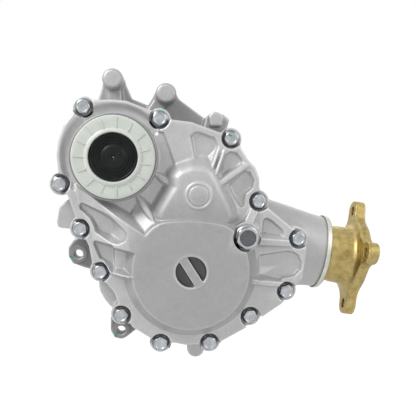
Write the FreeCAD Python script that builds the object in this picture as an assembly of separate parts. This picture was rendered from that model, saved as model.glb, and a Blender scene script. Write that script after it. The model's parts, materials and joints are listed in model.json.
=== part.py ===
import FreeCAD, Part
import math
import os
from collections import namedtuple
from FreeCAD import Placement, Rotation, Vector

# Power take-off unit of a transverse all-wheel-drive car, in millimetres.
# The origin is on the input shaft's axis in the face that seats on the transaxle.
# +X points to the output flange, +Z up, and +Y rearwards, from the cover to the transaxle.

# Housing depth, and depths of the cover's faces forward of the split
HOUSING_DEPTH = 77.0
GASKET = 0.8
SEAT_DEPTH = 10.0
CEILING_DEPTH = 11.5
SKIN_DEPTH = 16.5
RIM_DEPTH = 18.0
PLATEAU_DEPTH = 20.0
RIB_DEPTH = 24.0
PLUG_BOSS_DEPTH = 26.0
CAP_DEPTH = 32.0
DOME_DEPTH = 33.5
DISC_DEPTH = 36.0
FLANGE_THICKNESS = 15.0

# Gear train
MODULE = 2.5
INPUT_TEETH = 36
IDLER_TEETH = 36
DRIVEN_TEETH = 24
GEAR_WIDTH = 14.0
GEAR_SETBACK = 5.0
HELIX_TWIST = 7.0
PRESSURE_ANGLE = 20.0
BACKLASH = 0.08
IDLER_ANGLE = -24.4
DRIVEN_ANGLE = -95.8

# Ring gear and pinion
RING_TEETH = 27
PINION_TEETH = 15
PINION_PITCH_R = 22.0
PINION_PRESSURE = 25.0
HYPOID_OFFSET = 32.0
PINION_SETBACK = 45.0
OUTPUT_TILT = 9.8
MESH_START = 35.0
MESH_WIDTH = 11.0
RING_CLEARANCE = 0.32

# Output tube and flange, along the pinion's axis from its nearest point to the ring gear's axis
TUBE_END = 144.0
TUBE_R = 39.5
FLANGE_GAP = 34.0
FLANGE_WIDTH = 12.0
FLANGE_HOLE_CIRCLE = 106.0
FLANGE_HOLE_R = 5.2
FLANGE_EAR_R = 11.0
FLANGE_CLOCK = 13.5
NECK_R = 31.0
HUB_R = 21.0
FLANGE_PILOT_R = 23.0

# Fits and seats
RUNNING = 0.05
SHIM = 0.8
PILOT_R = 47.0
PILOT_LENGTH = 6.0
SHAFT_BORE_R = 17.5
SEAL_LAND_R = 26.0
SPLINE_R = 24.0
SPLINE_LENGTH = 20.0
INPUT_SEAT_R = 27.0
INPUT_CUP_R = 40.0
GEAR_SEAT_R = 31.0
PIN_SEAT_R = 14.0
PIN_END_R = 12.0
IDLER_CUP_R = 27.0
RING_SEAT_R = 15.0
RING_CUP_R = 30.0
DRIVEN_SEAT_R = 18.0
TAIL_SEAT_R = 11.0
TAIL_CUP_R = 22.0
PINION_SEAT_R = 17.0
PINION_CUP_R = 33.0
STEM_SEAT_R = 15.0
STEM_CUP_R = 30.0

# Cover screws
BOLT_R = 4.0
BOLT_BOSS_R = 8.3
BOLT_HOLE_R = 4.4
BOLT_HEX = 12.2
BOLT_HEAD = 8.0
BOLT_FLANGE_R = 8.8
BOLT_LENGTH = 30.0
LUG_R = 10.8
POCKET_R = 10.0
DOWELLED = (1, 8)
DOWEL_R = 6.4

# Planes along Y, from the front to the back
SPLIT_Y = -HOUSING_DEPTH
DISC_Y = SPLIT_Y - DISC_DEPTH
DOME_Y = SPLIT_Y - DOME_DEPTH
CAP_Y = SPLIT_Y - CAP_DEPTH
PLUG_BOSS_Y = SPLIT_Y - PLUG_BOSS_DEPTH
RIB_Y = SPLIT_Y - RIB_DEPTH
PLATEAU_Y = SPLIT_Y - PLATEAU_DEPTH
RIM_Y = SPLIT_Y - RIM_DEPTH
SKIN_Y = SPLIT_Y - SKIN_DEPTH
CEILING_Y = SPLIT_Y - CEILING_DEPTH
SEAT_Y = SPLIT_Y - SEAT_DEPTH
COVER_BACK_Y = SPLIT_Y - GASKET / 2
HOUSING_FRONT_Y = SPLIT_Y + GASKET / 2
GEAR_BACK_Y = SPLIT_Y + GEAR_SETBACK
GEAR_FRONT_Y = GEAR_BACK_Y - GEAR_WIDTH
FLANGE_BACK_Y = SPLIT_Y + FLANGE_THICKNESS
PINION_Y = SPLIT_Y + PINION_SETBACK
ROOM_BACK_Y = GEAR_BACK_Y + 4.0
RING_ROOM_BACK_Y = PINION_Y - 16.0
FACE_Y = 0.0

AXIAL = Rotation(Vector(0, 0, 1), Vector(0, 1, 0))
FORWARD = Rotation(Vector(0, 0, 1), Vector(0, -1, 0))


# Points in the X-Z plane
def polar(radius, degrees, centre=(0.0, 0.0)):
    turn = math.radians(degrees)
    return centre[0] + radius * math.cos(turn), centre[1] + radius * math.sin(turn)


def from_point(anchor, offsets):
    return [(anchor[0] + dx, anchor[1] + dz) for dx, dz in offsets]


INPUT = (0.0, 0.0)
IDLER = polar(MODULE * (INPUT_TEETH + IDLER_TEETH) / 2, IDLER_ANGLE)
RING = polar(MODULE * (IDLER_TEETH + DRIVEN_TEETH) / 2, DRIVEN_ANGLE, IDLER)
FOOT = polar(HYPOID_OFFSET, 90 - OUTPUT_TILT, RING)
OUTPUT_DIR = Vector(math.cos(math.radians(OUTPUT_TILT)), 0, -math.sin(math.radians(OUTPUT_TILT)))
OUTPUT = Placement(Vector(FOOT[0], PINION_Y, FOOT[1]), Rotation(Vector(0, 0, 1), OUTPUT_DIR))

# Rooms round the gears, and the flange that follows them
INPUT_ROOM_R = 50.0
IDLER_ROOM_R = 50.0
RING_ROOM_R = 70.0
ROOMS = {"input": (INPUT, INPUT_ROOM_R), "idler": (IDLER, IDLER_ROOM_R), "ring": (RING, RING_ROOM_R)}


def beside(room, wall, degrees):
    centre, radius = ROOMS[room]
    return polar(radius + wall, degrees, centre)


# Corners of the flange, clockwise from the top left: wall outside a room, and angle about that room's axis
FLANGE_WALLS = (
    ("input", 8.9, 133.3), ("input", 9.4, 109.7), ("input", 6.5, 91.4), ("input", 6.6, 77.8),
    ("input", 6.7, 60.3), ("input", 15.7, 34.8), ("idler", 22.5, 95.0), ("idler", 15.8, 68.5),
    ("idler", 14.0, 48.8), ("idler", 11.1, 34.2), ("idler", 13.8, 25.2), ("idler", 13.9, 15.6),
    ("idler", 12.3, 4.8), ("idler", 22.9, -10.9), ("ring", 40.5, 22.3), ("ring", 50.1, 9.1),
    ("ring", 47.4, 3.1), ("ring", 44.8, -5.8), ("ring", 38.6, -10.0), ("ring", 30.5, -21.7),
    ("ring", 20.1, -33.1), ("ring", 13.4, -48.2), ("ring", 11.8, -68.8), ("ring", 8.6, -93.0),
    ("ring", 11.3, -119.2), ("ring", 13.1, -134.6), ("ring", 11.0, -151.8), ("ring", 9.7, -162.7),
    ("ring", 17.0, -172.9), ("ring", 28.4, 175.5), ("ring", 33.7, 166.7), ("input", 21.3, -123.2),
    ("input", 11.0, -137.9), ("input", 6.7, -166.7), ("input", 6.7, 177.2), ("input", 7.0, 161.5),
    ("input", 8.4, 146.4),
)
OUTLINE = [beside(*corner) for corner in FLANGE_WALLS]
LEFT_ROOM = [beside("input", -0.4, -145.7), beside("input", 24.6, -107.9), beside("ring", 7.5, -176.9),
             beside("ring", 1.4, -147.7), RING, IDLER, INPUT]

# Screws: distance outside a room, angle about that room's axis, and the way in which the screw's pocket opens
SCREWS = (
    ("input", 8.0, 121.5, 121), ("input", 10.5, -154.3, 200), ("input", 28.9, -116.6, 202),
    ("ring", 20.6, -178.6, 200), ("ring", 14.1, -146.3, 212), ("ring", 12.2, -111.9, 252),
    ("ring", 9.3, -75.8, 285), ("ring", 9.0, -39.3, 305), ("ring", 31.4, -14.0, 318),
    ("ring", 44.0, 15.0, 25), ("idler", 12.1, -6.2, 22), ("idler", 15.4, 59.2, 48),
    ("input", 8.3, 40.8, 65),
)
BOLTS = [beside(room, wall, angle) + (way,) for room, wall, angle, way in SCREWS]


# Simple solids
def rod(centre, radius, y0, y1):
    return Part.makeCylinder(radius, y1 - y0, Vector(centre[0], y0, centre[1]), Vector(0, 1, 0))


def cone(centre, r0, r1, y0, y1):
    return Part.makeCone(r0, r1, y1 - y0, Vector(centre[0], y0, centre[1]), Vector(0, 1, 0))


def prism(points, y0, y1):
    corners = [Vector(x, y0, z) for x, z in points]
    face = Part.Face(Part.makePolygon(corners + corners[:1]))
    return face.extrude(Vector(0, y1 - y0, 0))


def bar(start, end, width, y0, y1):
    length = math.hypot(end[0] - start[0], end[1] - start[1])
    side = ((start[1] - end[1]) / length * width / 2, (end[0] - start[0]) / length * width / 2)
    corners = [(start[0] + side[0], start[1] + side[1]), (end[0] + side[0], end[1] + side[1]),
               (end[0] - side[0], end[1] - side[1]), (start[0] - side[0], start[1] - side[1])]
    return prism(corners, y0, y1)


def turned(profile, place):
    corners = [Vector(r, 0, s) for s, r in profile]
    face = Part.Face(Part.makePolygon(corners + corners[:1]))
    solid = face.revolve(Vector(0, 0, 0), Vector(0, 0, 1), 360)
    solid.Placement = place
    return solid


def on_axis(centre, profile):
    return turned(profile, Placement(Vector(centre[0], 0, centre[1]), AXIAL))


def along_output(profile):
    return turned(profile, OUTPUT)


def ring(centre, r_in, r_out, y0, y1):
    return rod(centre, r_out, y0, y1).cut(rod(centre, r_in, y0 - 1, y1 + 1))


def hexagon(across, start, end, place, turn=0.0):
    corners = []
    for k in range(6):
        angle = math.radians(turn + 60 * k)
        reach = across / 2 / math.cos(math.pi / 6)
        corners.append(Vector(reach * math.cos(angle), reach * math.sin(angle), start))
    solid = Part.Face(Part.makePolygon(corners + corners[:1])).extrude(Vector(0, 0, end - start))
    solid.Placement = place
    return solid


def joined(shapes):
    return shapes[0].multiFuse(shapes[1:]).removeSplitter()


def less(shape, cutters):
    return shape.cut(Part.makeCompound(cutters)) if cutters else shape


def save(name, shape):
    solids = shape.Solids
    out = solids[0] if len(solids) == 1 else Part.makeCompound(solids)
    out.exportStep("parts/" + name + ".step")
    print("%-22s solids %3d  faces %4d  volume %10.1f  valid %s"
          % (name, len(solids), len(shape.Faces), shape.Volume, shape.isValid()))


# Involute gear sections
def involute(angle):
    return math.tan(angle) - angle


def tooth_half_angle(radius, teeth, pitch_r, pressure, thinning):
    base_r = pitch_r * math.cos(pressure)
    local = math.acos(min(1.0, base_r / max(radius, base_r)))
    return math.pi / (2 * teeth) + involute(pressure) - involute(local) - thinning / pitch_r


def gear_section(teeth, module, pressure_deg, turn_deg, height, thinning):
    pitch_r = teeth * module / 2
    pressure = math.radians(pressure_deg)
    tip_r = pitch_r + module
    root_r = pitch_r - 1.25 * module
    low_r = max(root_r + 0.01 * module, pitch_r * math.cos(pressure))
    radii = (low_r, (low_r + pitch_r) / 2, pitch_r, (pitch_r + tip_r) / 2, tip_r)
    corners = []
    for k in range(teeth):
        middle = math.radians(turn_deg) + 2 * math.pi * k / teeth
        flank = [(root_r, tooth_half_angle(low_r, teeth, pitch_r, pressure, thinning))]
        flank += [(r, tooth_half_angle(r, teeth, pitch_r, pressure, thinning)) for r in radii]
        for r, half in flank:
            corners.append(Vector(r * math.cos(middle - half), r * math.sin(middle - half), height))
        for r, half in reversed(flank):
            corners.append(Vector(r * math.cos(middle + half), r * math.sin(middle + half), height))
    return Part.makePolygon(corners + corners[:1])


def helical_gear(centre, teeth, phase, hand, bore_r, y0, y1):
    twist = hand * HELIX_TWIST * INPUT_TEETH / teeth
    wires = []
    for height, turn in ((0.0, phase - twist / 2), (y1 - y0, phase + twist / 2)):
        wires.append(gear_section(teeth, MODULE, PRESSURE_ANGLE, turn, height, BACKLASH))
    solid = Part.makeLoft(wires, True, True)
    # The section lies in local X and Y, which stand for part X and Z, so the height runs to -Y
    solid.Placement = Placement(Vector(centre[0], y1, centre[1]), Rotation(Vector(1, 0, 0), 90))
    return solid.cut(rod(centre, bore_r, y0 - 1, y1 + 1))


# Tapered roller bearings: the cone's back face is at `back`, and the bearing runs forward or rearward from it
Bearing = namedtuple("Bearing", "bore outer width rollers centre back forward")
FRONT_SHOULDER = 2.0
REAR_SHOULDER = 4.0
IDLER_WIDTH = 13.5
BEARINGS = {
    "input_front": Bearing(INPUT_SEAT_R, INPUT_CUP_R, 12.5, 24, INPUT, GEAR_FRONT_Y - FRONT_SHOULDER, True),
    "input_rear": Bearing(INPUT_SEAT_R, INPUT_CUP_R, 12.5, 24, INPUT, GEAR_BACK_Y + REAR_SHOULDER, False),
    "idler_front": Bearing(PIN_SEAT_R, IDLER_CUP_R, IDLER_WIDTH, 15, IDLER,
                           GEAR_FRONT_Y - FRONT_SHOULDER - IDLER_WIDTH, False),
    "idler_rear": Bearing(PIN_SEAT_R, IDLER_CUP_R, IDLER_WIDTH, 15, IDLER, GEAR_BACK_Y + 0.5, True),
    "ring_front": Bearing(RING_SEAT_R, RING_CUP_R, 15.0, 15, RING, GEAR_FRONT_Y - FRONT_SHOULDER, True),
    "ring_rear": Bearing(TAIL_SEAT_R, TAIL_CUP_R, 12.0, 14, RING, PINION_Y - 15.0, False),
}

# The pinion's two bearings stand back to back along its axis
AxisBearing = namedtuple("AxisBearing", "bore outer width rollers back flipped")
MESH_END = MESH_START + MESH_WIDTH
INNER_BACK = MESH_END + 8.0
OUTER_BACK = TUBE_END - 22.0
PINION_BEARINGS = {
    "pinion_inner": AxisBearing(PINION_SEAT_R, PINION_CUP_R, 16.0, 15, INNER_BACK, False),
    "pinion_outer": AxisBearing(STEM_SEAT_R, STEM_CUP_R, 14.0, 15, OUTER_BACK, True),
}
INNER_END = INNER_BACK + PINION_BEARINGS["pinion_inner"].width
OUTER_START = OUTER_BACK - PINION_BEARINGS["pinion_outer"].width
CONTACT_SLOPE = 13.0
CAGE_HALF = 0.55
CAGE_GAP = 0.25


def roller_bearing(bearing, place):
    slope = math.radians(CONTACT_SLOPE)
    width = bearing.width
    middle_r = (bearing.bore + bearing.outer) / 2 + 0.4
    roller_r = (bearing.outer - bearing.bore) * 0.235
    length = width * 0.66
    apex = middle_r / math.sin(slope)
    taper = math.atan(roller_r / apex)
    apex_z = width / 2 + apex * math.cos(slope)

    def point(along, across):
        z = width / 2 + along * math.cos(slope) + across * math.sin(slope)
        return z, middle_r - along * math.sin(slope) + across * math.cos(slope)

    big_r = (apex + length / 2) * math.tan(taper)
    small_r = (apex - length / 2) * math.tan(taper)

    def cup_r(z):
        return (apex_z - z) * math.tan(slope + taper) + RUNNING

    def cone_r(z):
        return (apex_z - z) * math.tan(slope - taper) - RUNNING

    cup_start = width * 0.14
    cup = turned([(cup_start, cup_r(cup_start)), (cup_start, bearing.outer), (width, bearing.outer),
                  (width, cup_r(width))], place)
    big_z = point(-length / 2, -big_r)[0] - 0.2
    small_z = point(length / 2, -small_r)[0] + 0.5
    rib = roller_r * 0.3
    cone_width = width * 0.94
    race = turned([(0, bearing.bore), (0, cone_r(big_z) + rib), (big_z, cone_r(big_z) + rib),
                   (big_z, cone_r(big_z)), (small_z, cone_r(small_z)), (small_z, cone_r(small_z) + rib / 2),
                   (cone_width, cone_r(small_z) + rib / 2), (cone_width, bearing.bore)], place)

    def roller(grow):
        start = point(-length / 2 - grow, 0)
        solid = Part.makeCone(big_r + grow, small_r + grow, length + 2 * grow)
        tilt = Rotation(Vector(0, 0, 1), Vector(-math.sin(slope), 0, math.cos(slope)))
        solid.Placement = Placement(Vector(start[1], 0, start[0]), tilt)
        return solid

    reach = length / 2 + 1.3
    cage = turned([point(-reach, -CAGE_HALF), point(reach, -CAGE_HALF), point(reach, CAGE_HALF),
                   point(-reach, CAGE_HALF)], Placement())
    rollers = []
    windows = []
    for k in range(bearing.rollers):
        spin = Placement(Vector(0, 0, 0), Rotation(Vector(0, 0, 1), 360.0 * k / bearing.rollers))
        body = roller(0.0)
        body.Placement = spin.multiply(body.Placement)
        rollers.append(body)
        window = roller(CAGE_GAP)
        window.Placement = spin.multiply(window.Placement)
        windows.append(window)
    group = Part.makeCompound(rollers + less(cage, windows).Solids)
    group.Placement = place
    return cup, race, group


# Where a bearing's bore ends: past its cup by a shim
def bore_end(name):
    bearing = BEARINGS[name]
    step = bearing.width + SHIM
    return bearing.back - step if bearing.forward else bearing.back + step


def bearing_bore(name, mouth):
    end = bore_end(name)
    return rod(BEARINGS[name].centre, BEARINGS[name].outer, min(end, mouth), max(end, mouth))


def flange_body(y0, y1):
    lugs = [rod((x, z), LUG_R, y0, y1) for x, z, way in BOLTS]
    return joined([prism(OUTLINE, y0, y1)] + lugs)


def gear_room(y0, y1):
    rooms = [rod(centre, radius, y0, y1) for centre, radius in ROOMS.values()]
    return joined([prism(LEFT_ROOM, y0, y1)] + rooms)


# Front cover
PLUG = beside("ring", -5.4, 30.9)
PLUG_BOSS_R = 14.5
PLUG_R = 9.0
CAP_R = 42.5
VALLEY_R = 50.5
VALLEY_Y = CEILING_Y - 2.5
SEAL_R = 38.0
SEAL_Y = CAP_Y + 1.0
SEAL_END_Y = bore_end("input_front") - 0.3
DISC_R = RING_ROOM_R - 13.0
DISC_FOOT_R = RING_ROOM_R - 4.0
DISC_TOP = 49.1
DISC_TOP_CURVE = 149.5
DISC_WALL = 6.0
BOSS_WALL = 6.0
DOME = ((RIM_Y, 40.0), (RIB_Y, 38.5), (RIB_Y - 4.0, 35.0), (RIB_Y - 7.0, 28.0), (DOME_Y, 16.0), (DOME_Y, 0.0),
        (RIM_Y, 0.0))
DOME_REACH = 26.0
DOME_ANGLE = DRIVEN_ANGLE
HUB_ROOM_R = 32.5
PIN_FRONT_Y = DOME_Y + 3.5
NUB_ANGLES = (-147.0, -114.0, -77.0, -38.0)
NUB_R = 2.6
PAD_R = 13.0
PAD_Y = DISC_Y + 1.0
SLOT_R = 15.5
SLOT_BAR = 8.7
SLOT_ANGLE = -58.0
SLOT_DEPTH = 6.0
TOP_POCKETS = (
    ("idler", (14.5, 95.3), (12.7, 79.4), (9.0, 72.2), (-0.6, 64.8), (-10.0, 86.0)),
    ("idler", (1.8, 56.5), (7.1, 48.9), (7.4, 37.0), (3.5, 34.6), (-10.0, 34.0), (-9.0, 46.0)),
    ("idler", (6.0, 26.7), (9.6, 19.8), (9.0, 12.9), (4.9, 7.0), (-0.9, 2.0), (-1.3, -9.2), (-1.2, -19.5),
     (-9.0, -4.2), (-8.7, 24.6)),
)
LEFT_POCKETS = (
    ("ring", (59.5, 148.4), (56.5, 147.7), (6.3, 151.2), (3.8, 154.9), (6.0, 157.7), (31.8, 157.3),
     (39.4, 154.1), (52.8, 152.6)),
    ("ring", (30.1, 163.3), (-4.0, 167.5), (-2.9, 175.5), (3.4, -178.8), (8.5, 176.5), (21.2, 173.1)),
)
RIGHT_POCKETS = (
    ("ring", (20.8, 36.3), (26.5, 30.5), (32.3, 22.3), (31.2, 18.5), (25.9, 16.8), (6.8, 16.5), (10.5, 27.2)),
    ("ring", (4.1, 11.5), (30.3, 10.5), (36.0, 9.3), (42.0, 7.2), (44.5, 2.7), (43.5, -1.6), (37.5, -5.1),
     (25.3, -6.9), (20.0, -12.1), (9.6, -12.8), (3.8, -7.9)),
)
RIBS = (
    (beside("idler", 0.4, 62.2), beside("idler", -28.4, 52.8), 7.0),
    (beside("idler", 5.4, 28.9), beside("idler", -29.3, 29.4), 7.0),
    (beside("input", 6.0, -145.2), beside("ring", -19.2, 142.7), 8.0),
    (beside("input", 7.1, 31.7), beside("input", 9.2, -11.7), 7.0),
    (beside("idler", 0.6, 151.5), beside("idler", -26.4, 158.4), 7.0),
    (beside("input", -7.9, -58.8), beside("idler", -7.6, -150.6), 7.0),
    (beside("ring", -8.7, 29.1), beside("ring", 38.3, 12.7), 7.0),
    (beside("ring", -19.2, 142.7), beside("ring", -15.9, 129.4), 9.0),
)
WING = (beside("input", 3.0, -148.0), beside("ring", -16.0, 141.0), beside("ring", -32.0, 134.0),
        beside("ring", -52.0, 140.0), beside("ring", -18.0, 176.0), beside("ring", 27.0, 158.0))
WING_START = beside("ring", 39.0, 173.0)
WING_LENGTH = 60.0


def shape(corners):
    return [beside(corners[0], wall, angle) for wall, angle in corners[1:]]


def bolt_pocket(x, z, way):
    end = polar(2.2 * POCKET_R, way, (x, z))
    front = DISC_Y - 12.0
    return [rod((x, z), POCKET_R, front, SEAT_Y), bar((x, z), end, 2 * POCKET_R, front, SEAT_Y)]


# The dome is a turned one at each end of a short run from the idler towards the ring gear
def dome():
    turn = math.radians(DOME_ANGLE)
    way = Vector(math.cos(turn), 0, math.sin(turn))
    side = Vector(-math.sin(turn), 0, math.cos(turn))
    start = Vector(IDLER[0], 0, IDLER[1])
    corners = [start + side * r + Vector(0, y, 0) for y, r in DOME[:-2]]
    corners += [start - side * r + Vector(0, y, 0) for y, r in reversed(DOME[:-2])]
    run = Part.Face(Part.makePolygon(corners + corners[:1])).extrude(way * DOME_REACH)
    return [on_axis(IDLER, DOME), run, on_axis(polar(DOME_REACH, DOME_ANGLE, IDLER), DOME)]


# Disc over the ring gear, flattened at its top; `inset` gives the room inside it
def ring_disc(inset, front, back):
    centre = (RING[0], RING[1] + DISC_TOP - DISC_TOP_CURVE)
    body = cone(RING, DISC_R - inset - 1.0, DISC_FOOT_R - inset, front, back)
    return body.common(rod(centre, DISC_TOP_CURVE - inset, front - 1, back + 1))


# Wing at the left of the disc, whose face rises towards it
def wing():
    x0 = WING_START[0]
    slope = [Vector(x0, RIM_Y, 0), Vector(x0, RIM_Y - 1.0, 0), Vector(x0 + WING_LENGTH, DISC_Y + 1.0, 0),
             Vector(x0 + 2 * WING_LENGTH, DISC_Y + 1.0, 0), Vector(x0 + 2 * WING_LENGTH, RIM_Y, 0)]
    ramp = Part.Face(Part.makePolygon(slope + slope[:1])).extrude(Vector(0, 0, 400))
    ramp.translate(Vector(0, 0, -300))
    return prism(WING, DISC_Y, RIM_Y + 1.0).common(ramp)


def front_cover():
    behind = COVER_BACK_Y + 1
    ahead = PLATEAU_Y - 3
    plateau = [rod(IDLER, IDLER_ROOM_R - 4, PLATEAU_Y, RIM_Y), rod(RING, RING_ROOM_R + 2, PLATEAU_Y, RIM_Y)]
    body = joined([flange_body(RIM_Y, COVER_BACK_Y)] + plateau)
    cuts = [ring(INPUT, CAP_R, VALLEY_R, ahead, VALLEY_Y)]
    cuts += [prism(shape(p), ahead, SKIN_Y) for p in TOP_POCKETS + LEFT_POCKETS]
    cuts += [prism(shape(p), ahead, SEAT_Y) for p in RIGHT_POCKETS]
    body = less(body, cuts)
    raised = [rod(INPUT, CAP_R, CAP_Y, VALLEY_Y + 1), rod(PLUG, PLUG_BOSS_R, PLUG_BOSS_Y, VALLEY_Y + 1)]
    raised += dome() + [wing(), ring_disc(0.0, DISC_Y, RIM_Y), rod(IDLER, PAD_R, PAD_Y, RIB_Y)]
    raised += [bar(a, b, width, RIB_Y, VALLEY_Y) for a, b, width in RIBS]
    raised += [rod(polar(DISC_FOOT_R - NUB_R, angle, RING), NUB_R, RIB_Y, RIM_Y) for angle in NUB_ANGLES]
    body = joined([body] + raised).cut(rod(PLUG, PLUG_BOSS_R, DISC_Y - 1, PLUG_BOSS_Y))
    cuts = []
    for x, z, way in BOLTS:
        cuts += bolt_pocket(x, z, way)
        cuts.append(rod((x, z), BOLT_HOLE_R, SEAT_Y - 1, behind))
    body = less(body, cuts)
    room = joined([gear_room(CEILING_Y, behind), ring_disc(DISC_WALL, DISC_Y + DISC_WALL, CEILING_Y + 0.5)])
    bosses = [rod(RING, RING_CUP_R + BOSS_WALL, DISC_Y, CEILING_Y), rod(INPUT, CAP_R, CAP_Y, CEILING_Y)]
    room = less(room, bosses)
    recess = rod(RING, SLOT_R, DISC_Y - 1, DISC_Y + SLOT_DEPTH)
    ends = polar(SLOT_R + 2, SLOT_ANGLE, RING), polar(SLOT_R + 2, SLOT_ANGLE + 180, RING)
    recess = recess.cut(bar(ends[0], ends[1], SLOT_BAR, DISC_Y + 0.5, DISC_Y + SLOT_DEPTH + 2))
    groove = ring(IDLER, PAD_R - 3.5, PAD_R - 2.0, PAD_Y - 1, PAD_Y + 0.8)
    bores = [bearing_bore(name, SEAT_Y) for name in ("input_front", "ring_front")]
    bores += [rod(IDLER, HUB_ROOM_R, BEARINGS["idler_front"].back - SHIM, SEAT_Y)]
    bores += [rod(IDLER, PIN_END_R, PIN_FRONT_Y, RIB_Y + 1), rod(INPUT, SEAL_R, CAP_Y - 1, SEAL_END_Y)]
    bores += [rod(INPUT, INPUT_CUP_R - 8, CAP_Y, RIM_Y), rod(PLUG, PLUG_R, PLUG_BOSS_Y - 1, CEILING_Y + 8)]
    bores += [rod(RING, RING_SEAT_R - 3, DISC_Y + 7, RIB_Y + 1)]
    bores += [rod(BOLTS[k][:2], DOWEL_R, SPLIT_Y - 6, behind) for k in DOWELLED]
    return less(body, [room, recess, groove] + bores)


# Main housing
EAR_R = 4.5
EARS = (
    (beside("ring", 45.2, 173.4), ((-3.8, 16.2), (-10.3, 6.8), (-10.5, -2.0), (-6.2, -9.6), (5.5, -14.3),
                                   (26.1, -19.4), (20.1, 18.6))),
    (beside("ring", 28.5, -136.9), ((-10.8, 14.1), (-11.0, -0.2), (-6.7, -8.1), (0.9, -9.5), (7.1, -6.4),
                                    (27.6, 9.1), (11.6, 29.1))),
)
EAR_FRONT_Y = SPLIT_Y + 3.0
EAR_BACK_Y = EAR_FRONT_Y + 14.0
TOP_BOSSES = ((-8.0, 86.6), (50.1, 71.4))
BOSS_FRONT_Y = -32.0
BOSS_FRONT_R = 8.0
BOSS_R = 11.5
BOSS_TAP_R = 5.1
BOSS_TAP_DEPTH = 24.0
TOP_LUG = ("idler", (32.4, 82.4), (38.2, 77.9), (39.1, 70.6), (36.5, 65.2), (14.6, 62.3), (12.5, 84.5))
LEFT_LUG = ("input", (8.1, -139.2), (27.0, -139.8), (40.0, -133.5), (43.1, -130.9), (41.9, -128.6),
            (29.8, -112.1))
BOTTOM_LUG = beside("ring", 18.9, -86.2)
BOTTOM_LUG_R = 8.5
SIDE_WEB = ("ring", (18.8, -174.7), (26.4, -169.9), (27.2, -164.5), (25.5, -158.5), (23.1, -152.5),
            (4.9, -149.3))
TAIL_PLATE = ((-27.7, 60.0), (-20.0, 84.0), (-8.0, 96.0), (3.0, 88.0), (12.0, 67.0), (30.0, 60.0),
              (39.0, 76.0), (54.0, 80.0), (66.0, 66.0), (96.0, 44.0), (112.0, 38.0), (100.0, 10.0),
              (60.0, -30.0), (0.0, -56.0))
SNOUT_R = PILOT_R + 9.0
SEAL_BORE_R = 36.0
VENT = beside("idler", -15.4, 29.8)
VENT_R = 4.0

# Sections of the output tube: station, and how far its height and its depth pass the round end's radius
TUBE_SECTIONS = ((30.0, 16.5, 1.5), (60.0, 12.5, 1.5), (100.0, 6.0, 1.0), (130.0, 1.0, 0.0),
                 (TUBE_END, 0.01, 0.0))


# Output tube: oval towards the gear room, round at its end; local X runs down and local Y to the back
def output_tube():
    wires = []
    for station, tall, deep in TUBE_SECTIONS:
        oval = Part.Ellipse(Vector(TUBE_R + tall, 0, station), Vector(0, TUBE_R + deep, station),
                            Vector(0, 0, station))
        wires.append(Part.Wire(oval.toShape()))
    tube = Part.makeLoft(wires, True, True)
    tube.Placement = OUTPUT
    limit = Part.makeBox(400, 100, 400, Vector(-100, SPLIT_Y + 4.0, -300))
    return tube.common(limit).Solids[0]


def output_bore(start, end, radius):
    return along_output([(start, 0), (start, radius), (end, radius), (end, 0)])


def housing_forms():
    front = HOUSING_FRONT_Y
    base = FLANGE_BACK_Y - 1
    solids = [flange_body(front, FLANGE_BACK_Y), cone(INPUT, SNOUT_R, SNOUT_R - 3, base, FACE_Y)]
    solids += [cone(IDLER, IDLER_ROOM_R + 5, IDLER_ROOM_R, base, FLANGE_BACK_Y + 13)]
    solids += [cone(RING, RING_ROOM_R + 5, RING_ROOM_R, base, RING_ROOM_BACK_Y + 6)]
    solids += [rod(RING, TAIL_CUP_R + 7, RING_ROOM_BACK_Y, bore_end("ring_rear") + 8.2)]
    solids += [prism(LEFT_ROOM, base, FLANGE_BACK_Y + 8), prism(TAIL_PLATE, FACE_Y - 14, FACE_Y)]
    solids += [ring(INPUT, PILOT_R - 7, PILOT_R, FACE_Y - 1, FACE_Y + PILOT_LENGTH)]
    for centre in TOP_BOSSES:
        foot = polar(SNOUT_R - 4, math.degrees(math.atan2(centre[1], centre[0])))
        solids += [cone(centre, BOSS_FRONT_R, BOSS_R, BOSS_FRONT_Y, FACE_Y),
                   bar(centre, foot, 15, -24, FACE_Y)]
    solids += [prism(shape(TOP_LUG), -50, FACE_Y), prism(shape(LEFT_LUG), front + 4, FLANGE_BACK_Y)]
    solids += [rod(BOTTOM_LUG, BOTTOM_LUG_R, front + 3, FLANGE_BACK_Y)]
    solids += [bar(BOTTOM_LUG, beside("ring", -2, -86.2), 2 * BOTTOM_LUG_R, front + 3, FLANGE_BACK_Y)]
    solids += [prism(shape(SIDE_WEB), front + 4, FLANGE_BACK_Y)]
    solids += [prism(from_point(hole, corners), EAR_FRONT_Y, EAR_BACK_Y) for hole, corners in EARS]
    solids += [rod((x, z), BOLT_BOSS_R, base, FLANGE_BACK_Y + 9) for x, z, way in BOLTS]
    return joined(solids + [output_tube()])


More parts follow.
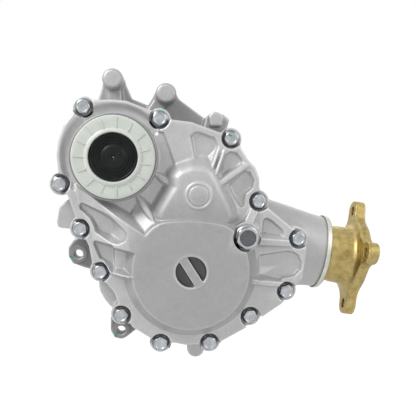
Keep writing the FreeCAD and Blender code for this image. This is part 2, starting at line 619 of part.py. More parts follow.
def main_housing():
    front = HOUSING_FRONT_Y
    ring_room = rod(RING, RING_ROOM_R, ROOM_BACK_Y - 2, RING_ROOM_BACK_Y)
    room = joined([gear_room(front - 1, ROOM_BACK_Y), ring_room])
    rear = BEARINGS["idler_rear"].back
    cuts = [room.cut(rod(IDLER, PIN_SEAT_R + 2.5, rear, RING_ROOM_BACK_Y))]
    cuts += [rod(IDLER, PIN_END_R, front - 1, PIN_BACK_Y), bearing_bore("input_rear", ROOM_BACK_Y - 2)]
    cuts += [bearing_bore("ring_rear", RING_ROOM_BACK_Y - 1), rod(INPUT, INPUT_CUP_R - 6, -56, -16)]
    cuts += [rod(INPUT, INPUT_CUP_R + 4, -50, -20), rod(INPUT, SEAL_BORE_R, -14, FACE_Y + PILOT_LENGTH + 1)]
    cuts += [rod(INPUT, SEAL_BORE_R - 6, -20, -10)]
    cuts += [output_bore(MESH_START - 7, INNER_BACK, PINION_PITCH_R + 6.5)]
    cuts += [output_bore(MESH_START + 5, INNER_END + SHIM, PINION_CUP_R)]
    cuts += [output_bore(INNER_BACK + 6, OUTER_START + 4, STEM_CUP_R - 3)]
    cuts += [output_bore(OUTER_START, TUBE_END + 1, STEM_CUP_R)]
    cuts += [rod((x, z), BOLT_R, front - 1, FLANGE_BACK_Y + 6) for x, z, way in BOLTS]
    cuts += [rod(hole, EAR_R, EAR_FRONT_Y - 1, EAR_BACK_Y + 1) for hole, corners in EARS]
    cuts += [rod(centre, BOSS_TAP_R, FACE_Y - BOSS_TAP_DEPTH, FACE_Y + 1) for centre in TOP_BOSSES]
    cuts += [rod(BOLTS[k][:2], DOWEL_R, front - 1, SPLIT_Y + 6) for k in DOWELLED]
    cuts += [ring(INPUT, PILOT_R - GROOVE_DEPTH, PILOT_R + 1, GROOVE_START, GROOVE_END)]
    cuts += [rod(VENT, VENT_R, ROOM_BACK_Y - 2, FLANGE_BACK_Y + 22)]
    return less(housing_forms(), cuts)


def cover_gasket():
    cuts = [gear_room(SPLIT_Y - 2, SPLIT_Y + 2)]
    for k, (x, z, way) in enumerate(BOLTS):
        cuts.append(rod((x, z), DOWEL_R if k in DOWELLED else BOLT_HOLE_R, SPLIT_Y - 2, SPLIT_Y + 2))
    return less(flange_body(COVER_BACK_Y, HOUSING_FRONT_Y), cuts)


# Cover screws with hex flange heads
def flange_bolt(x, z, turn):
    place = Placement(Vector(x, SEAT_Y - BOLT_HEAD, z), AXIAL)
    cap = hexagon(BOLT_HEX, 0, BOLT_HEAD - 1.5, place, turn)
    crown_r = BOLT_HEX / 2 + 1.1
    cap = cap.common(turned([(0, 0), (0, crown_r - 1.6), (0.9, crown_r - 0.8), (0.9, crown_r),
                             (BOLT_HEAD, crown_r), (BOLT_HEAD, 0)], place))
    skirt = turned([(5.2, 0), (5.2, 6.6), (BOLT_HEAD - 1.2, BOLT_FLANGE_R), (BOLT_HEAD, BOLT_FLANGE_R),
                    (BOLT_HEAD, 0)], place)
    return joined([cap, skirt, rod((x, z), BOLT_R, SEAT_Y - 0.5, SEAT_Y + BOLT_LENGTH)])


def cover_bolts():
    return Part.makeCompound([flange_bolt(x, z, 17.0 * k) for k, (x, z, way) in enumerate(BOLTS)])


# Shafts and gears
PIN_BACK_Y = FLANGE_BACK_Y + 4.0
SHOULDER_R = 37.0
HUB_WALL_R = 24.0


def phases():
    idler = IDLER_ANGLE + 180 + 180.0 / IDLER_TEETH
    pitch = 360.0 / IDLER_TEETH
    lead = (DRIVEN_ANGLE - idler) % pitch
    driven = DRIVEN_ANGLE + 180 + lead * IDLER_TEETH / DRIVEN_TEETH + 180.0 / DRIVEN_TEETH
    return IDLER_ANGLE, idler, driven


def spline_grooves(place, radius, depth, count, start, end):
    cutters = []
    for k in range(count):
        spin = Placement(Vector(0, 0, 0), Rotation(Vector(0, 0, 1), 360.0 * k / count))
        width = math.pi * radius / count
        box = Part.makeBox(2 * depth, width, end - start, Vector(radius - depth, -width / 2, start))
        box.Placement = place.multiply(spin)
        cutters.append(box)
    return cutters


def input_shaft():
    front, rear = BEARINGS["input_front"].back, BEARINGS["input_rear"].back
    front_end, rear_end = bore_end("input_front") - 0.2, bore_end("input_rear") + 0.2
    start = FACE_Y + 4.0
    end = start + SPLINE_LENGTH
    outer = [(SEAL_Y, SHAFT_BORE_R + 1), (SEAL_Y, SEAL_LAND_R - 0.5), (SEAL_Y + 0.5, SEAL_LAND_R),
             (front_end, SEAL_LAND_R), (front_end, INPUT_SEAT_R), (front, INPUT_SEAT_R), (front, GEAR_SEAT_R),
             (GEAR_BACK_Y, GEAR_SEAT_R), (GEAR_BACK_Y, SHOULDER_R), (rear, SHOULDER_R), (rear, INPUT_SEAT_R),
             (rear_end, INPUT_SEAT_R), (rear_end, SEAL_LAND_R), (start, SEAL_LAND_R), (start, SPLINE_R),
             (end - 1.5, SPLINE_R), (end, SPLINE_R - 1.5), (end, SHAFT_BORE_R), (front, SHAFT_BORE_R),
             (front, SHAFT_BORE_R + 1)]
    grooves = spline_grooves(Placement(Vector(0, 0, 0), AXIAL), SPLINE_R, 1.4, 30, start + 1, end + 1)
    return less(on_axis(INPUT, outer), grooves)


# Fixed pin that carries the idler's two bearings
def idler_pin():
    start = BEARINGS["idler_front"].back - SHIM
    rear = BEARINGS["idler_rear"].back
    return on_axis(IDLER, [(PIN_FRONT_Y, 0), (PIN_FRONT_Y, PIN_END_R), (start, PIN_END_R),
                           (start, PIN_SEAT_R),
                           (rear, PIN_SEAT_R), (rear, PIN_END_R), (PIN_BACK_Y - 1, PIN_END_R),
                           (PIN_BACK_Y, PIN_END_R - 1), (PIN_BACK_Y, 0)])


def idler_gear(phase):
    gear = helical_gear(IDLER, IDLER_TEETH, phase, -1, HUB_WALL_R, GEAR_FRONT_Y, GEAR_BACK_Y)
    front, rear = BEARINGS["idler_front"], BEARINGS["idler_rear"]
    gear = gear.fuse(ring(IDLER, HUB_WALL_R, HUB_ROOM_R - 2.0, front.back + 1.5, GEAR_FRONT_Y + 0.5))
    seats = [rod(IDLER, front.outer, front.back - 1, front.back + front.width)]
    seats += [rod(IDLER, rear.outer, rear.back - rear.width, rear.back + 1)]
    return less(gear, seats).removeSplitter()


# Ring gear on its shaft's flange
RING_SEAT_Y = PINION_Y - 33.5
RING_HEAD_Y = RING_SEAT_Y + 4.5
RING_PILOT_R = 26.0
RING_FLANGE_R = 42.0
RING_BOLT_R = 34.5
RING_OUT_R = MESH_START + MESH_WIDTH + 10.5
PINION_MODULE = 2 * PINION_PITCH_R / PINION_TEETH


def ring_bolt_holes(y0, y1):
    return [rod(polar(RING_BOLT_R, 60 * k, RING), BOLT_R, y0, y1) for k in range(6)]


def ring_shaft():
    front, rear = BEARINGS["ring_front"], BEARINGS["ring_rear"]
    nose = front.back - front.width + 0.5
    tail = rear.back + rear.width + 0.5
    collar = GEAR_BACK_Y + 0.5
    shaft = on_axis(RING, [(nose, 0), (nose, RING_SEAT_R - 1), (nose + 1, RING_SEAT_R),
                           (front.back, RING_SEAT_R),
                           (front.back, DRIVEN_SEAT_R), (collar, DRIVEN_SEAT_R), (collar, RING_FLANGE_R),
                           (RING_SEAT_Y, RING_FLANGE_R), (RING_SEAT_Y, RING_PILOT_R),
                           (RING_SEAT_Y + 5.5, RING_PILOT_R), (RING_SEAT_Y + 5.5, DRIVEN_SEAT_R),
                           (rear.back, TAIL_SEAT_R + 3.5), (rear.back, TAIL_SEAT_R), (tail - 1, TAIL_SEAT_R),
                           (tail, TAIL_SEAT_R - 1), (tail, 0)])
    return less(shaft, ring_bolt_holes(collar - 2, RING_HEAD_Y + 1))


def pinion_flank(turn):
    pressure = math.radians(PINION_PRESSURE)
    base_r = PINION_PITCH_R * math.cos(pressure)
    points = []
    for k in range(13):
        radius = base_r + (PINION_PITCH_R + PINION_MODULE - base_r) * k / 12
        half = tooth_half_angle(radius, PINION_TEETH, PINION_PITCH_R, pressure, 0.0)
        points.append((radius * math.sin(half + turn), radius * math.cos(half + turn)))
    return points


# Furthest reach of a rolling pinion tooth's flank across the ring gear, at one station and depth
def space_reach(station, depth, offset):
    furthest = 0.0
    ratio = RING_TEETH / PINION_TEETH
    for step in range(-50, 51):
        roll = math.radians(0.5 * step)
        points = pinion_flank(roll * ratio)
        for (u0, d0), (u1, d1) in zip(points, points[1:]):
            if min(d0, d1) <= depth <= max(d0, d1) and d0 != d1:
                across = u0 + (u1 - u0) * (depth - d0) / (d1 - d0)
                reach = (offset + across - station * math.sin(roll)) / math.cos(roll) - offset
                furthest = max(furthest, reach)
    return furthest + RING_CLEARANCE


def space_section(station):
    module = PINION_MODULE
    tip = PINION_PITCH_R + module
    levels = (PINION_PITCH_R - 1.15 * module, PINION_PITCH_R - 0.3 * module, PINION_PITCH_R + 0.5 * module,
              tip - 0.1)
    upper = [(space_reach(station, depth, HYPOID_OFFSET), depth) for depth in levels]
    lower = [(-space_reach(station, depth, -HYPOID_OFFSET), depth) for depth in levels]
    bottom = tip + 0.25 * module
    outline = upper + [(upper[-1][0] * 0.8, bottom), (lower[-1][0] * 0.8, bottom)] + lower[::-1]
    up = Vector(math.sin(math.radians(OUTPUT_TILT)), 0, math.cos(math.radians(OUTPUT_TILT)))
    base = Vector(FOOT[0], PINION_Y, FOOT[1]) + OUTPUT_DIR * station
    corners = [base + up * across + Vector(0, -depth, 0) for across, depth in outline]
    return Part.makePolygon(corners + corners[:1])


def ring_gear():
    top_y = PINION_Y - PINION_PITCH_R + PINION_MODULE
    blank = on_axis(RING, [(RING_SEAT_Y, RING_PILOT_R), (RING_SEAT_Y, RING_OUT_R), (top_y, RING_OUT_R),
                           (top_y, RING_FLANGE_R + 4), (RING_HEAD_Y, RING_FLANGE_R),
                           (RING_HEAD_Y, RING_PILOT_R)])
    stations = (MESH_START - 6, MESH_START - 2, MESH_START + 2, MESH_START + 7, MESH_END + 3.5)
    cutter = Part.makeLoft([space_section(station) for station in stations], True, True)
    cutters = []
    for k in range(RING_TEETH):
        space = cutter.copy()
        space.rotate(Vector(RING[0], 0, RING[1]), Vector(0, 1, 0), 360.0 * k / RING_TEETH)
        cutters.append(space)
    return blank.cut(cutters).cut(ring_bolt_holes(RING_SEAT_Y - 1, RING_HEAD_Y + 1))


def ring_gear_bolts():
    bolts = []
    for k in range(6):
        x, z = polar(RING_BOLT_R, 60 * k, RING)
        head = hexagon(12.0, 0, 5.5, Placement(Vector(x, RING_HEAD_Y, z), AXIAL), 30 * k)
        bolts.append(joined([head, rod((x, z), BOLT_R, GEAR_BACK_Y + 0.5, RING_HEAD_Y + 0.5)]))
    return Part.makeCompound(bolts)


# Pinion and output flange, by stations along the output axis
HUB_START = TUBE_END - 20.0
NECK_START = TUBE_END + 4.0
WASHER_START = TUBE_END + 13.0
NUT_START = WASHER_START + 4.0
NUT_END = NUT_START + 11.0
FLANGE_BACK = TUBE_END + FLANGE_GAP
FLANGE_FRONT = FLANGE_BACK + FLANGE_WIDTH
BODY_R = PINION_PITCH_R - 4.1
COLLAR_R = 20.5
HUB_SPLINE_R = 13.5
THREAD_R = 10.0
HUB_BORE_R = 20.0


def pinion_shaft():
    wire = gear_section(PINION_TEETH, PINION_MODULE, PINION_PRESSURE, -90, MESH_START, BACKLASH)
    head = Part.Face(wire).extrude(Vector(0, 0, MESH_WIDTH))
    head.Placement = OUTPUT
    stem_end = NUT_END + 4.0
    body = along_output([(MESH_START - 1.5, 0), (MESH_START - 1.5, 12.0), (MESH_START, 14.0),
                         (MESH_END - 1, BODY_R),
                         (INNER_BACK - 3.3, BODY_R), (INNER_BACK - 2.5, COLLAR_R), (INNER_BACK, COLLAR_R),
                         (INNER_BACK, PINION_SEAT_R), (SLEEVE_START, PINION_SEAT_R),
                         (SLEEVE_START, STEM_SEAT_R),
                         (HUB_START, STEM_SEAT_R), (HUB_START, HUB_SPLINE_R),
                         (WASHER_START + 2, HUB_SPLINE_R),
                         (WASHER_START + 2, THREAD_R), (stem_end - 1, THREAD_R), (stem_end, THREAD_R - 1),
                         (stem_end, 0)])
    return joined([head, body])


# Crush sleeve between the inner races: a thin tube with a bulge in the middle
SLEEVE_START = INNER_END + 2.0


def crush_sleeve():
    end = OUTER_START
    middle = (SLEEVE_START + end) / 2
    inner_r, outer_r = STEM_SEAT_R + 0.2, STEM_SEAT_R + 2.5
    return along_output([(SLEEVE_START, inner_r), (SLEEVE_START, outer_r), (middle - 4, outer_r),
                         (middle, outer_r + 2), (middle + 4, outer_r), (end, outer_r), (end, inner_r),
                         (middle + 4.5, inner_r), (middle, inner_r + 2), (middle - 4.5, inner_r)])


def output_flange():
    rim_r = NECK_R + 9
    floor_y = FLANGE_FRONT - 4
    hub = along_output([(HUB_START, HUB_SPLINE_R), (HUB_START, HUB_R), (NECK_START, HUB_R),
                        (NECK_START, NECK_R),
                        (FLANGE_BACK - 10, NECK_R), (FLANGE_BACK - 5, NECK_R + 1.5),
                        (FLANGE_BACK - 1.5, NECK_R + 5),
                        (FLANGE_BACK, rim_r), (FLANGE_FRONT - 1.5, rim_r), (FLANGE_FRONT, rim_r - 1.5),
                        (FLANGE_FRONT, FLANGE_PILOT_R), (floor_y, FLANGE_PILOT_R), (floor_y, HUB_BORE_R),
                        (WASHER_START, HUB_BORE_R), (WASHER_START, HUB_SPLINE_R)])
    pieces = [hub]
    holes = []
    reach = FLANGE_HOLE_CIRCLE / 2
    half = FLANGE_EAR_R - 0.4
    for k in range(4):
        spin = Placement(Vector(0, 0, 0), Rotation(Vector(0, 0, 1), -90 - FLANGE_CLOCK + 90 * k))
        place = OUTPUT.multiply(spin)
        ear = Part.makeCylinder(FLANGE_EAR_R, FLANGE_WIDTH, Vector(reach, 0, FLANGE_BACK))
        corners = [Vector(HUB_BORE_R + 4, -2 * FLANGE_EAR_R, FLANGE_BACK),
                   Vector(reach + 3, -half, FLANGE_BACK),
                   Vector(reach + 3, half, FLANGE_BACK),
                   Vector(HUB_BORE_R + 4, 2 * FLANGE_EAR_R, FLANGE_BACK)]
        arm = Part.Face(Part.makePolygon(corners + corners[:1])).extrude(Vector(0, 0, FLANGE_WIDTH))
        hole = Part.makeCylinder(FLANGE_HOLE_R, FLANGE_WIDTH + 10, Vector(reach, 0, FLANGE_BACK - 5))
        for solid in (ear, arm, hole):
            solid.Placement = place
        pieces += [ear, arm]
        holes.append(hole)
    bores = [output_bore(TUBE_END - 4, floor_y + 1, HUB_BORE_R)]
    bores.append(output_bore(floor_y, FLANGE_FRONT + 1, FLANGE_PILOT_R))
    floor = along_output([(HUB_START + 6, HUB_SPLINE_R), (HUB_START + 6, HUB_R), (WASHER_START, HUB_R),
                          (WASHER_START, HUB_SPLINE_R)])
    return joined([joined(pieces).cut(Part.makeCompound(bores + holes)), floor])


def dust_slinger():
    start = TUBE_END + 0.8
    lip = TUBE_R + 0.8
    return along_output([(start, HUB_R), (start, lip), (start - 3.5, lip), (start - 3.5, lip + 1.4),
                         (start + 3.2, TUBE_R), (start + 3.2, HUB_R)])


def pinion_washer():
    inner_r, outer_r = HUB_SPLINE_R + 0.1, HUB_BORE_R - 1.0
    middle = WASHER_START + 2.0
    return along_output([(WASHER_START, inner_r), (WASHER_START, outer_r), (NUT_START, outer_r),
                         (NUT_START, THREAD_R + 0.1), (middle, THREAD_R + 0.1), (middle, inner_r)])


def pinion_nut():
    return hexagon(32.0, NUT_START, NUT_END, OUTPUT).cut(output_bore(NUT_START - 1, NUT_END + 1, THREAD_R))


# Seals: a case with an inner lip that just clears the shaft
def seal(place, outer_r, shaft_r, start, end):
    lip_r = shaft_r + RUNNING
    return turned([(start, outer_r), (end, outer_r), (end, outer_r - 2.5), (start + 2.0, outer_r - 2.5),
                   (start + 2.0, lip_r + 2.5), (end - 1.0, lip_r + 2.0), (end - 1.5, lip_r),
                   (start, lip_r + 1.0)],
                  place)


# Filler plug on its washer
WASHER = 1.6
PLUG_RIM_R = 12.0


def fill_plug():
    place = Placement(Vector(PLUG[0], PLUG_BOSS_Y - WASHER, PLUG[1]), FORWARD)
    head = hexagon(20.0, 2.5, 10.0, place, 20)
    head = head.common(turned([(0, 0), (0, PLUG_RIM_R), (9.0, 11.4), (10.0, 10.0), (10.0, 0)], place))
    rim = turned([(0, 0), (0, PLUG_RIM_R), (1.8, PLUG_RIM_R), (2.8, PLUG_RIM_R - 1), (2.8, 0)], place)
    dish = turned([(8.0, 0), (8.0, 6.5), (11.0, 6.5), (11.0, 0)], place)
    return joined([head, rim, rod(PLUG, PLUG_R, PLUG_BOSS_Y - WASHER - 0.4, CEILING_Y)]).cut(dish)


# White guard ring over the front seal, and the black plug in the hollow shaft
GUARD_R = 41.0
GUARD_BORE_R = 24.2


def guard_ring():
    seat, foot = CAP_Y - 0.1, SEAL_Y - 0.3
    body = on_axis(INPUT, [(CAP_Y - 2.5, GUARD_BORE_R), (CAP_Y - 4, 25.5), (CAP_Y - 4, 31.0),
                           (CAP_Y - 3, 32.0),
                           (CAP_Y - 3, GUARD_R - 1), (CAP_Y - 2, GUARD_R), (seat, GUARD_R),
                           (seat, SEAL_R - 0.1), (foot, SEAL_R - 0.1), (foot, GUARD_BORE_R)])
    slots = []
    for angle in range(8, 360, 30):
        slots.append(bar(polar(33.5, angle), polar(39.2, angle), 3.0, CAP_Y - 6, CAP_Y - 1.6))
    return less(body, slots)


def shaft_plug():
    face, rim, foot = CAP_Y - 1.0, CAP_Y - 2.2, SEAL_Y - 0.3
    wall_r = SHAFT_BORE_R + 0.9
    profile = [(face - 0.5, 0), (face - 0.5, 2.0), (face - 1, 2.5), (face - 1, 9.5), (face, 10.5)]
    for r in (13.0, 16.0, 19.0):
        profile += [(face, r - 0.6), (face - 0.8, r), (face - 0.8, r + 0.8), (face, r + 1.4)]
    profile += [(rim, 21.2), (rim, 22.4), (foot, 22.4), (foot, wall_r), (foot + 17.3, wall_r),
                (foot + 18.3, SHAFT_BORE_R - 0.5), (foot + 18.3, 12.0), (foot + 1.3, 12.0), (foot + 1.3, 0)]
    return on_axis(INPUT, profile)


# Vent on the back, by its distance from the back of its wall
VENT_Y = FLANGE_BACK_Y + 13.0


def vent_fitting():
    bore_r = VENT_R / 2
    return on_axis(VENT, [(VENT_Y - 3, bore_r), (VENT_Y - 3, VENT_R), (VENT_Y + 0.5, VENT_R),
                          (VENT_Y + 0.5, 6.5),
                          (VENT_Y + 4.5, 6.5), (VENT_Y + 4.5, 3.5), (VENT_Y + 13, 3.5),
                          (VENT_Y + 13, bore_r)])


def vent_cap():
    start = VENT_Y + 5.5
    return on_axis(VENT, [(start, 3.6), (start, 7.0), (start + 10.5, 7.0), (start + 11.5, 6.0),
                          (start + 11.5, 0), (start + 9.5, 0), (start + 9.5, 3.6)])


# The O-ring is drawn squeezed to the pilot's radius, as it is in the transaxle's bore
GROOVE_DEPTH = 2.5
GROOVE_START = 2.0
GROOVE_END = 4.6


def pilot_o_ring():
    floor_r = PILOT_R - GROOVE_DEPTH
    start, end = GROOVE_START + 0.1, GROOVE_END - 0.1
    return on_axis(INPUT, [(start, floor_r), (start, PILOT_R - 0.4), (start + 0.5, PILOT_R),
                           (end - 0.5, PILOT_R), (end, PILOT_R - 0.4), (end, floor_r)])


def preload_shims():
    front = BEARINGS["idler_front"]
    shims = [ring(IDLER, PIN_SEAT_R, 19.0, front.back - SHIM, front.back)]
    for name in ("input_front", "input_rear", "ring_front", "ring_rear"):
        bearing = BEARINGS[name]
        end = bore_end(name)
        near = end + SHIM if bearing.forward else end - SHIM
        shims.append(ring(bearing.centre, bearing.outer - 4.0, bearing.outer, min(end, near), max(end, near)))
    inner_r = PINION_CUP_R - 4.0
    shims.append(along_output([(INNER_END, inner_r), (INNER_END, PINION_CUP_R),
                               (INNER_END + SHIM, PINION_CUP_R), (INNER_END + SHIM, inner_r)]))
    return Part.makeCompound(shims)


def cover_dowels():
    sleeves = [ring(BOLTS[k][:2], BOLT_R + 0.5, DOWEL_R, SPLIT_Y - 5.5, SPLIT_Y + 5.5) for k in DOWELLED]
    return Part.makeCompound(sleeves)


def bearings():
    for name, bearing in BEARINGS.items():
        way = FORWARD if bearing.forward else AXIAL
        place = Placement(Vector(bearing.centre[0], bearing.back, bearing.centre[1]), way)
        yield name, roller_bearing(bearing, place)
    for name, bearing in PINION_BEARINGS.items():
        turn = Rotation(Vector(0, 1, 0), 180) if bearing.flipped else Rotation()
        yield name, roller_bearing(bearing, OUTPUT.multiply(Placement(Vector(0, 0, bearing.back), turn)))


def main():
    os.makedirs("parts", exist_ok=True)
    axial = Placement(Vector(0, 0, 0), AXIAL)
    save("front_cover", front_cover())
    save("main_housing", main_housing())
    save("cover_gasket", cover_gasket())
    save("cover_bolts", cover_bolts())
    save("cover_dowels", cover_dowels())
    save("fill_plug", fill_plug())
    save("fill_plug_washer", ring(PLUG, PLUG_R, PLUG_RIM_R - 0.5, PLUG_BOSS_Y - WASHER, PLUG_BOSS_Y))
    save("vent_fitting", vent_fitting())
    save("vent_cap", vent_cap())
    save("halfshaft_seal", seal(axial, SEAL_R, SEAL_LAND_R, SEAL_Y, SEAL_END_Y))
    save("input_seal", seal(axial, SEAL_BORE_R, SEAL_LAND_R, FACE_Y - 13, FACE_Y - 5))
    save("pinion_seal", seal(OUTPUT, STEM_CUP_R, HUB_R, TUBE_END - 14, TUBE_END - 5))
    save("pilot_o_ring", pilot_o_ring())
    save("preload_shims", preload_shims())
    for name, (cup, race, rollers) in bearings():
        save(name + "_cup", cup)
        save(name + "_cone", race)
        save(name + "_rollers", rollers)
    input_phase, idler_phase, driven_phase = phases()
    save("input_shaft", input_shaft())
    gear_span = GEAR_FRONT_Y, GEAR_BACK_Y
    save("input_gear", helical_gear(INPUT, INPUT_TEETH, input_phase, 1, GEAR_SEAT_R, *gear_span))
    save("idler_pin", idler_pin())
    save("idler_gear", idler_gear(idler_phase))
    save("ring_shaft", ring_shaft())
    save("driven_gear", helical_gear(RING, DRIVEN_TEETH, driven_phase, 1, DRIVEN_SEAT_R, *gear_span))
    save("ring_gear", ring_gear())
    save("ring_gear_bolts", ring_gear_bolts())
    save("pinion_shaft", pinion_shaft())
    save("crush_sleeve", crush_sleeve())
    save("output_flange", output_flange())
    save("dust_slinger", dust_slinger())
    save("pinion_washer", pinion_washer())
    save("pinion_nut", pinion_nut())
    save("guard_ring", guard_ring())
    save("shaft_plug", shaft_plug())


main()
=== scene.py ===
import json
import math

import bmesh
import bpy
import numpy as np
from mathutils import Matrix, Vector


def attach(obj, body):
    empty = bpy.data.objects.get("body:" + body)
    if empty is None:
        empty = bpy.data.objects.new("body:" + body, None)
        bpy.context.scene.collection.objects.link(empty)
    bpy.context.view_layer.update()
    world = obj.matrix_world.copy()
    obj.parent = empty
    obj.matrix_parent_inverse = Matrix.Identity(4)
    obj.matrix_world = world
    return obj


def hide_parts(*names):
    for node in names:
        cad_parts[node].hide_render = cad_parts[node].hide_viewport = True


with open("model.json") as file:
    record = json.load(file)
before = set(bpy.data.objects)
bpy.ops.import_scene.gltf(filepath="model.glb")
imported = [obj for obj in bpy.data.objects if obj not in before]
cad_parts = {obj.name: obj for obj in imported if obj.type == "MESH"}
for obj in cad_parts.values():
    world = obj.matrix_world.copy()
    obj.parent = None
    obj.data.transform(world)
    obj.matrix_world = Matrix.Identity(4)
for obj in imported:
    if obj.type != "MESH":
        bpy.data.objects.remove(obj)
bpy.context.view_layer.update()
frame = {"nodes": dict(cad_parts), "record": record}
CASE = "case"
MM = 0.001

# Planes along Y in millimetres, as in the part
DISC_Y, BOSS_Y, RIM_Y, SEAT_Y = -113, -109, -95, -87
CEILING_Y, SPLIT_Y, FLANGE_BACK_Y, GASKET = -88.5, -77, -62, 0.8
COVER_BACK_Y = SPLIT_Y - GASKET / 2
HOUSING_FRONT_Y = SPLIT_Y + GASKET / 2

# Axes in X and Z, in millimetres
INPUT = (0, 0)
IDLER = (81.96, -37.18)
RING = (74.38, -111.80)
FOOT = (79.83, -80.26)
PINION_Y = -32
OUTPUT_TILT = math.radians(9.8)
PLUG = (129.8, -78.6)

# Cover screws: place in X and Z, and the way in which the screw's pocket opens
BOLTS = (
    (-30.3, 49.4, 121), (-54.5, -26.2, 200), (-35.3, -70.6, 202), (-16.2, -114, 200),
    (4.4, -158.5, 212), (43.7, -188.1, 252), (93.8, -188.7, 285), (135.5, -161.9, 305),
    (172.8, -136.4, 318), (184.5, -82.2, 25), (143.7, -43.9, 22), (115.5, 19, 48), (44.1, 38.1, 65),
)
OUTLINE = (
    (-40.4, 42.9), (-20, 55.9), (-1.4, 56.5), (12, 55.3), (28.1, 49.2), (54, 37.5), (75.7, 35),
    (106.1, 24), (124.1, 11), (132.5, -2.8), (139.7, -10), (143.5, -20), (144, -32),
    (153.5, -51), (176.6, -69.9), (193, -92.9), (191.6, -105.4), (188.6, -123.4), (181.3, -130.6),
    (167.7, -149), (149.9, -161), (130, -174), (104, -188), (70.2, -190.3), (34.7, -182.8),
    (16, -171), (3, -150), (-1.7, -135.5), (-12, -122.5), (-23.7, -104), (-26.5, -88),
    (-39, -59.7), (-45.3, -40.9), (-55.2, -13), (-56.6, 2.8), (-54.1, 18.1), (-48.6, 32.3),
)
CAVITY_LEFT = ((-41, -28), (-23, -71), (-3, -116), (14, -150), (74, -100), (40, 0))


def polar(radius, degrees, centre=(0, 0)):
    turn = math.radians(degrees)
    return centre[0] + radius * math.cos(turn), centre[1] + radius * math.sin(turn)


# Distances in the X-Z plane; x and z are arrays
def circle(centre, radius):
    return lambda x, z: np.hypot(x - centre[0], z - centre[1]) - radius


def to_segment(x, z, start, end):
    dx, dz = end[0] - start[0], end[1] - start[1]
    t = np.clip(((x - start[0]) * dx + (z - start[1]) * dz) / (dx * dx + dz * dz), 0, 1)
    return np.hypot(x - start[0] - t * dx, z - start[1] - t * dz)


def capsule(start, end, width):
    return lambda x, z: to_segment(x, z, start, end) - width / 2


def polygon(points):
    def distance(x, z):
        best = np.full(np.broadcast(x, z).shape, 1e9)
        inside = np.zeros(best.shape, bool)
        for start, end in zip(points, points[1:] + points[:1]):
            best = np.minimum(best, to_segment(x, z, start, end))
            (x0, z0), dz = start, end[1] - start[1]
            if abs(dz) > 1e-9:
                inside ^= ((z0 > z) != (end[1] > z)) & (x < x0 + (end[0] - x0) * (z - z0) / dz)
        return np.where(inside, -best, best)
    return distance


def grown(shape, amount):
    return lambda x, z: shape(x, z) - amount


# A polygon with its corners rounded
def soft_polygon(points, radius):
    area = sum(a[0] * b[1] - b[0] * a[1] for a, b in zip(points, points[1:] + points[:1]))
    turn = radius if area > 0 else -radius
    moved = []
    for before, point, after in zip(points[-1:] + points[:-1], points, points[1:] + points[:1]):
        first, second = Vector(point) - Vector(before), Vector(after) - Vector(point)
        first, second = Vector((-first.y, first.x)).normalized(), Vector((-second.y, second.x)).normalized()
        moved.append(tuple(Vector(point) + turn * (first + second) / (1 + first.dot(second))))
    return grown(polygon(tuple(moved)), radius)


def union(shapes):
    return lambda x, z: np.minimum.reduce([s(x, z) for s in shapes])


def without(shape, hole):
    return lambda x, z: np.maximum(shape(x, z), -hole(x, z))


def ring_band(centre, radius, half):
    return lambda x, z: np.abs(np.hypot(x - centre[0], z - centre[1]) - radius) - half


def around(centre, reach):
    return centre[0] - reach, centre[1] - reach, centre[0] + reach, centre[1] + reach


# Gear room, shared by the cover and the housing
ROOM = union([polygon(CAVITY_LEFT), circle(INPUT, 50), circle(IDLER, 50), circle(RING, 70)])


# Distance to where two faces meet in a rounded edge
def rounded_edge(side, depth, edge):
    side, depth = side + edge, depth + edge
    return np.hypot(np.maximum(side, 0), np.maximum(depth, 0)) + np.minimum(np.maximum(side, depth), 0) - edge


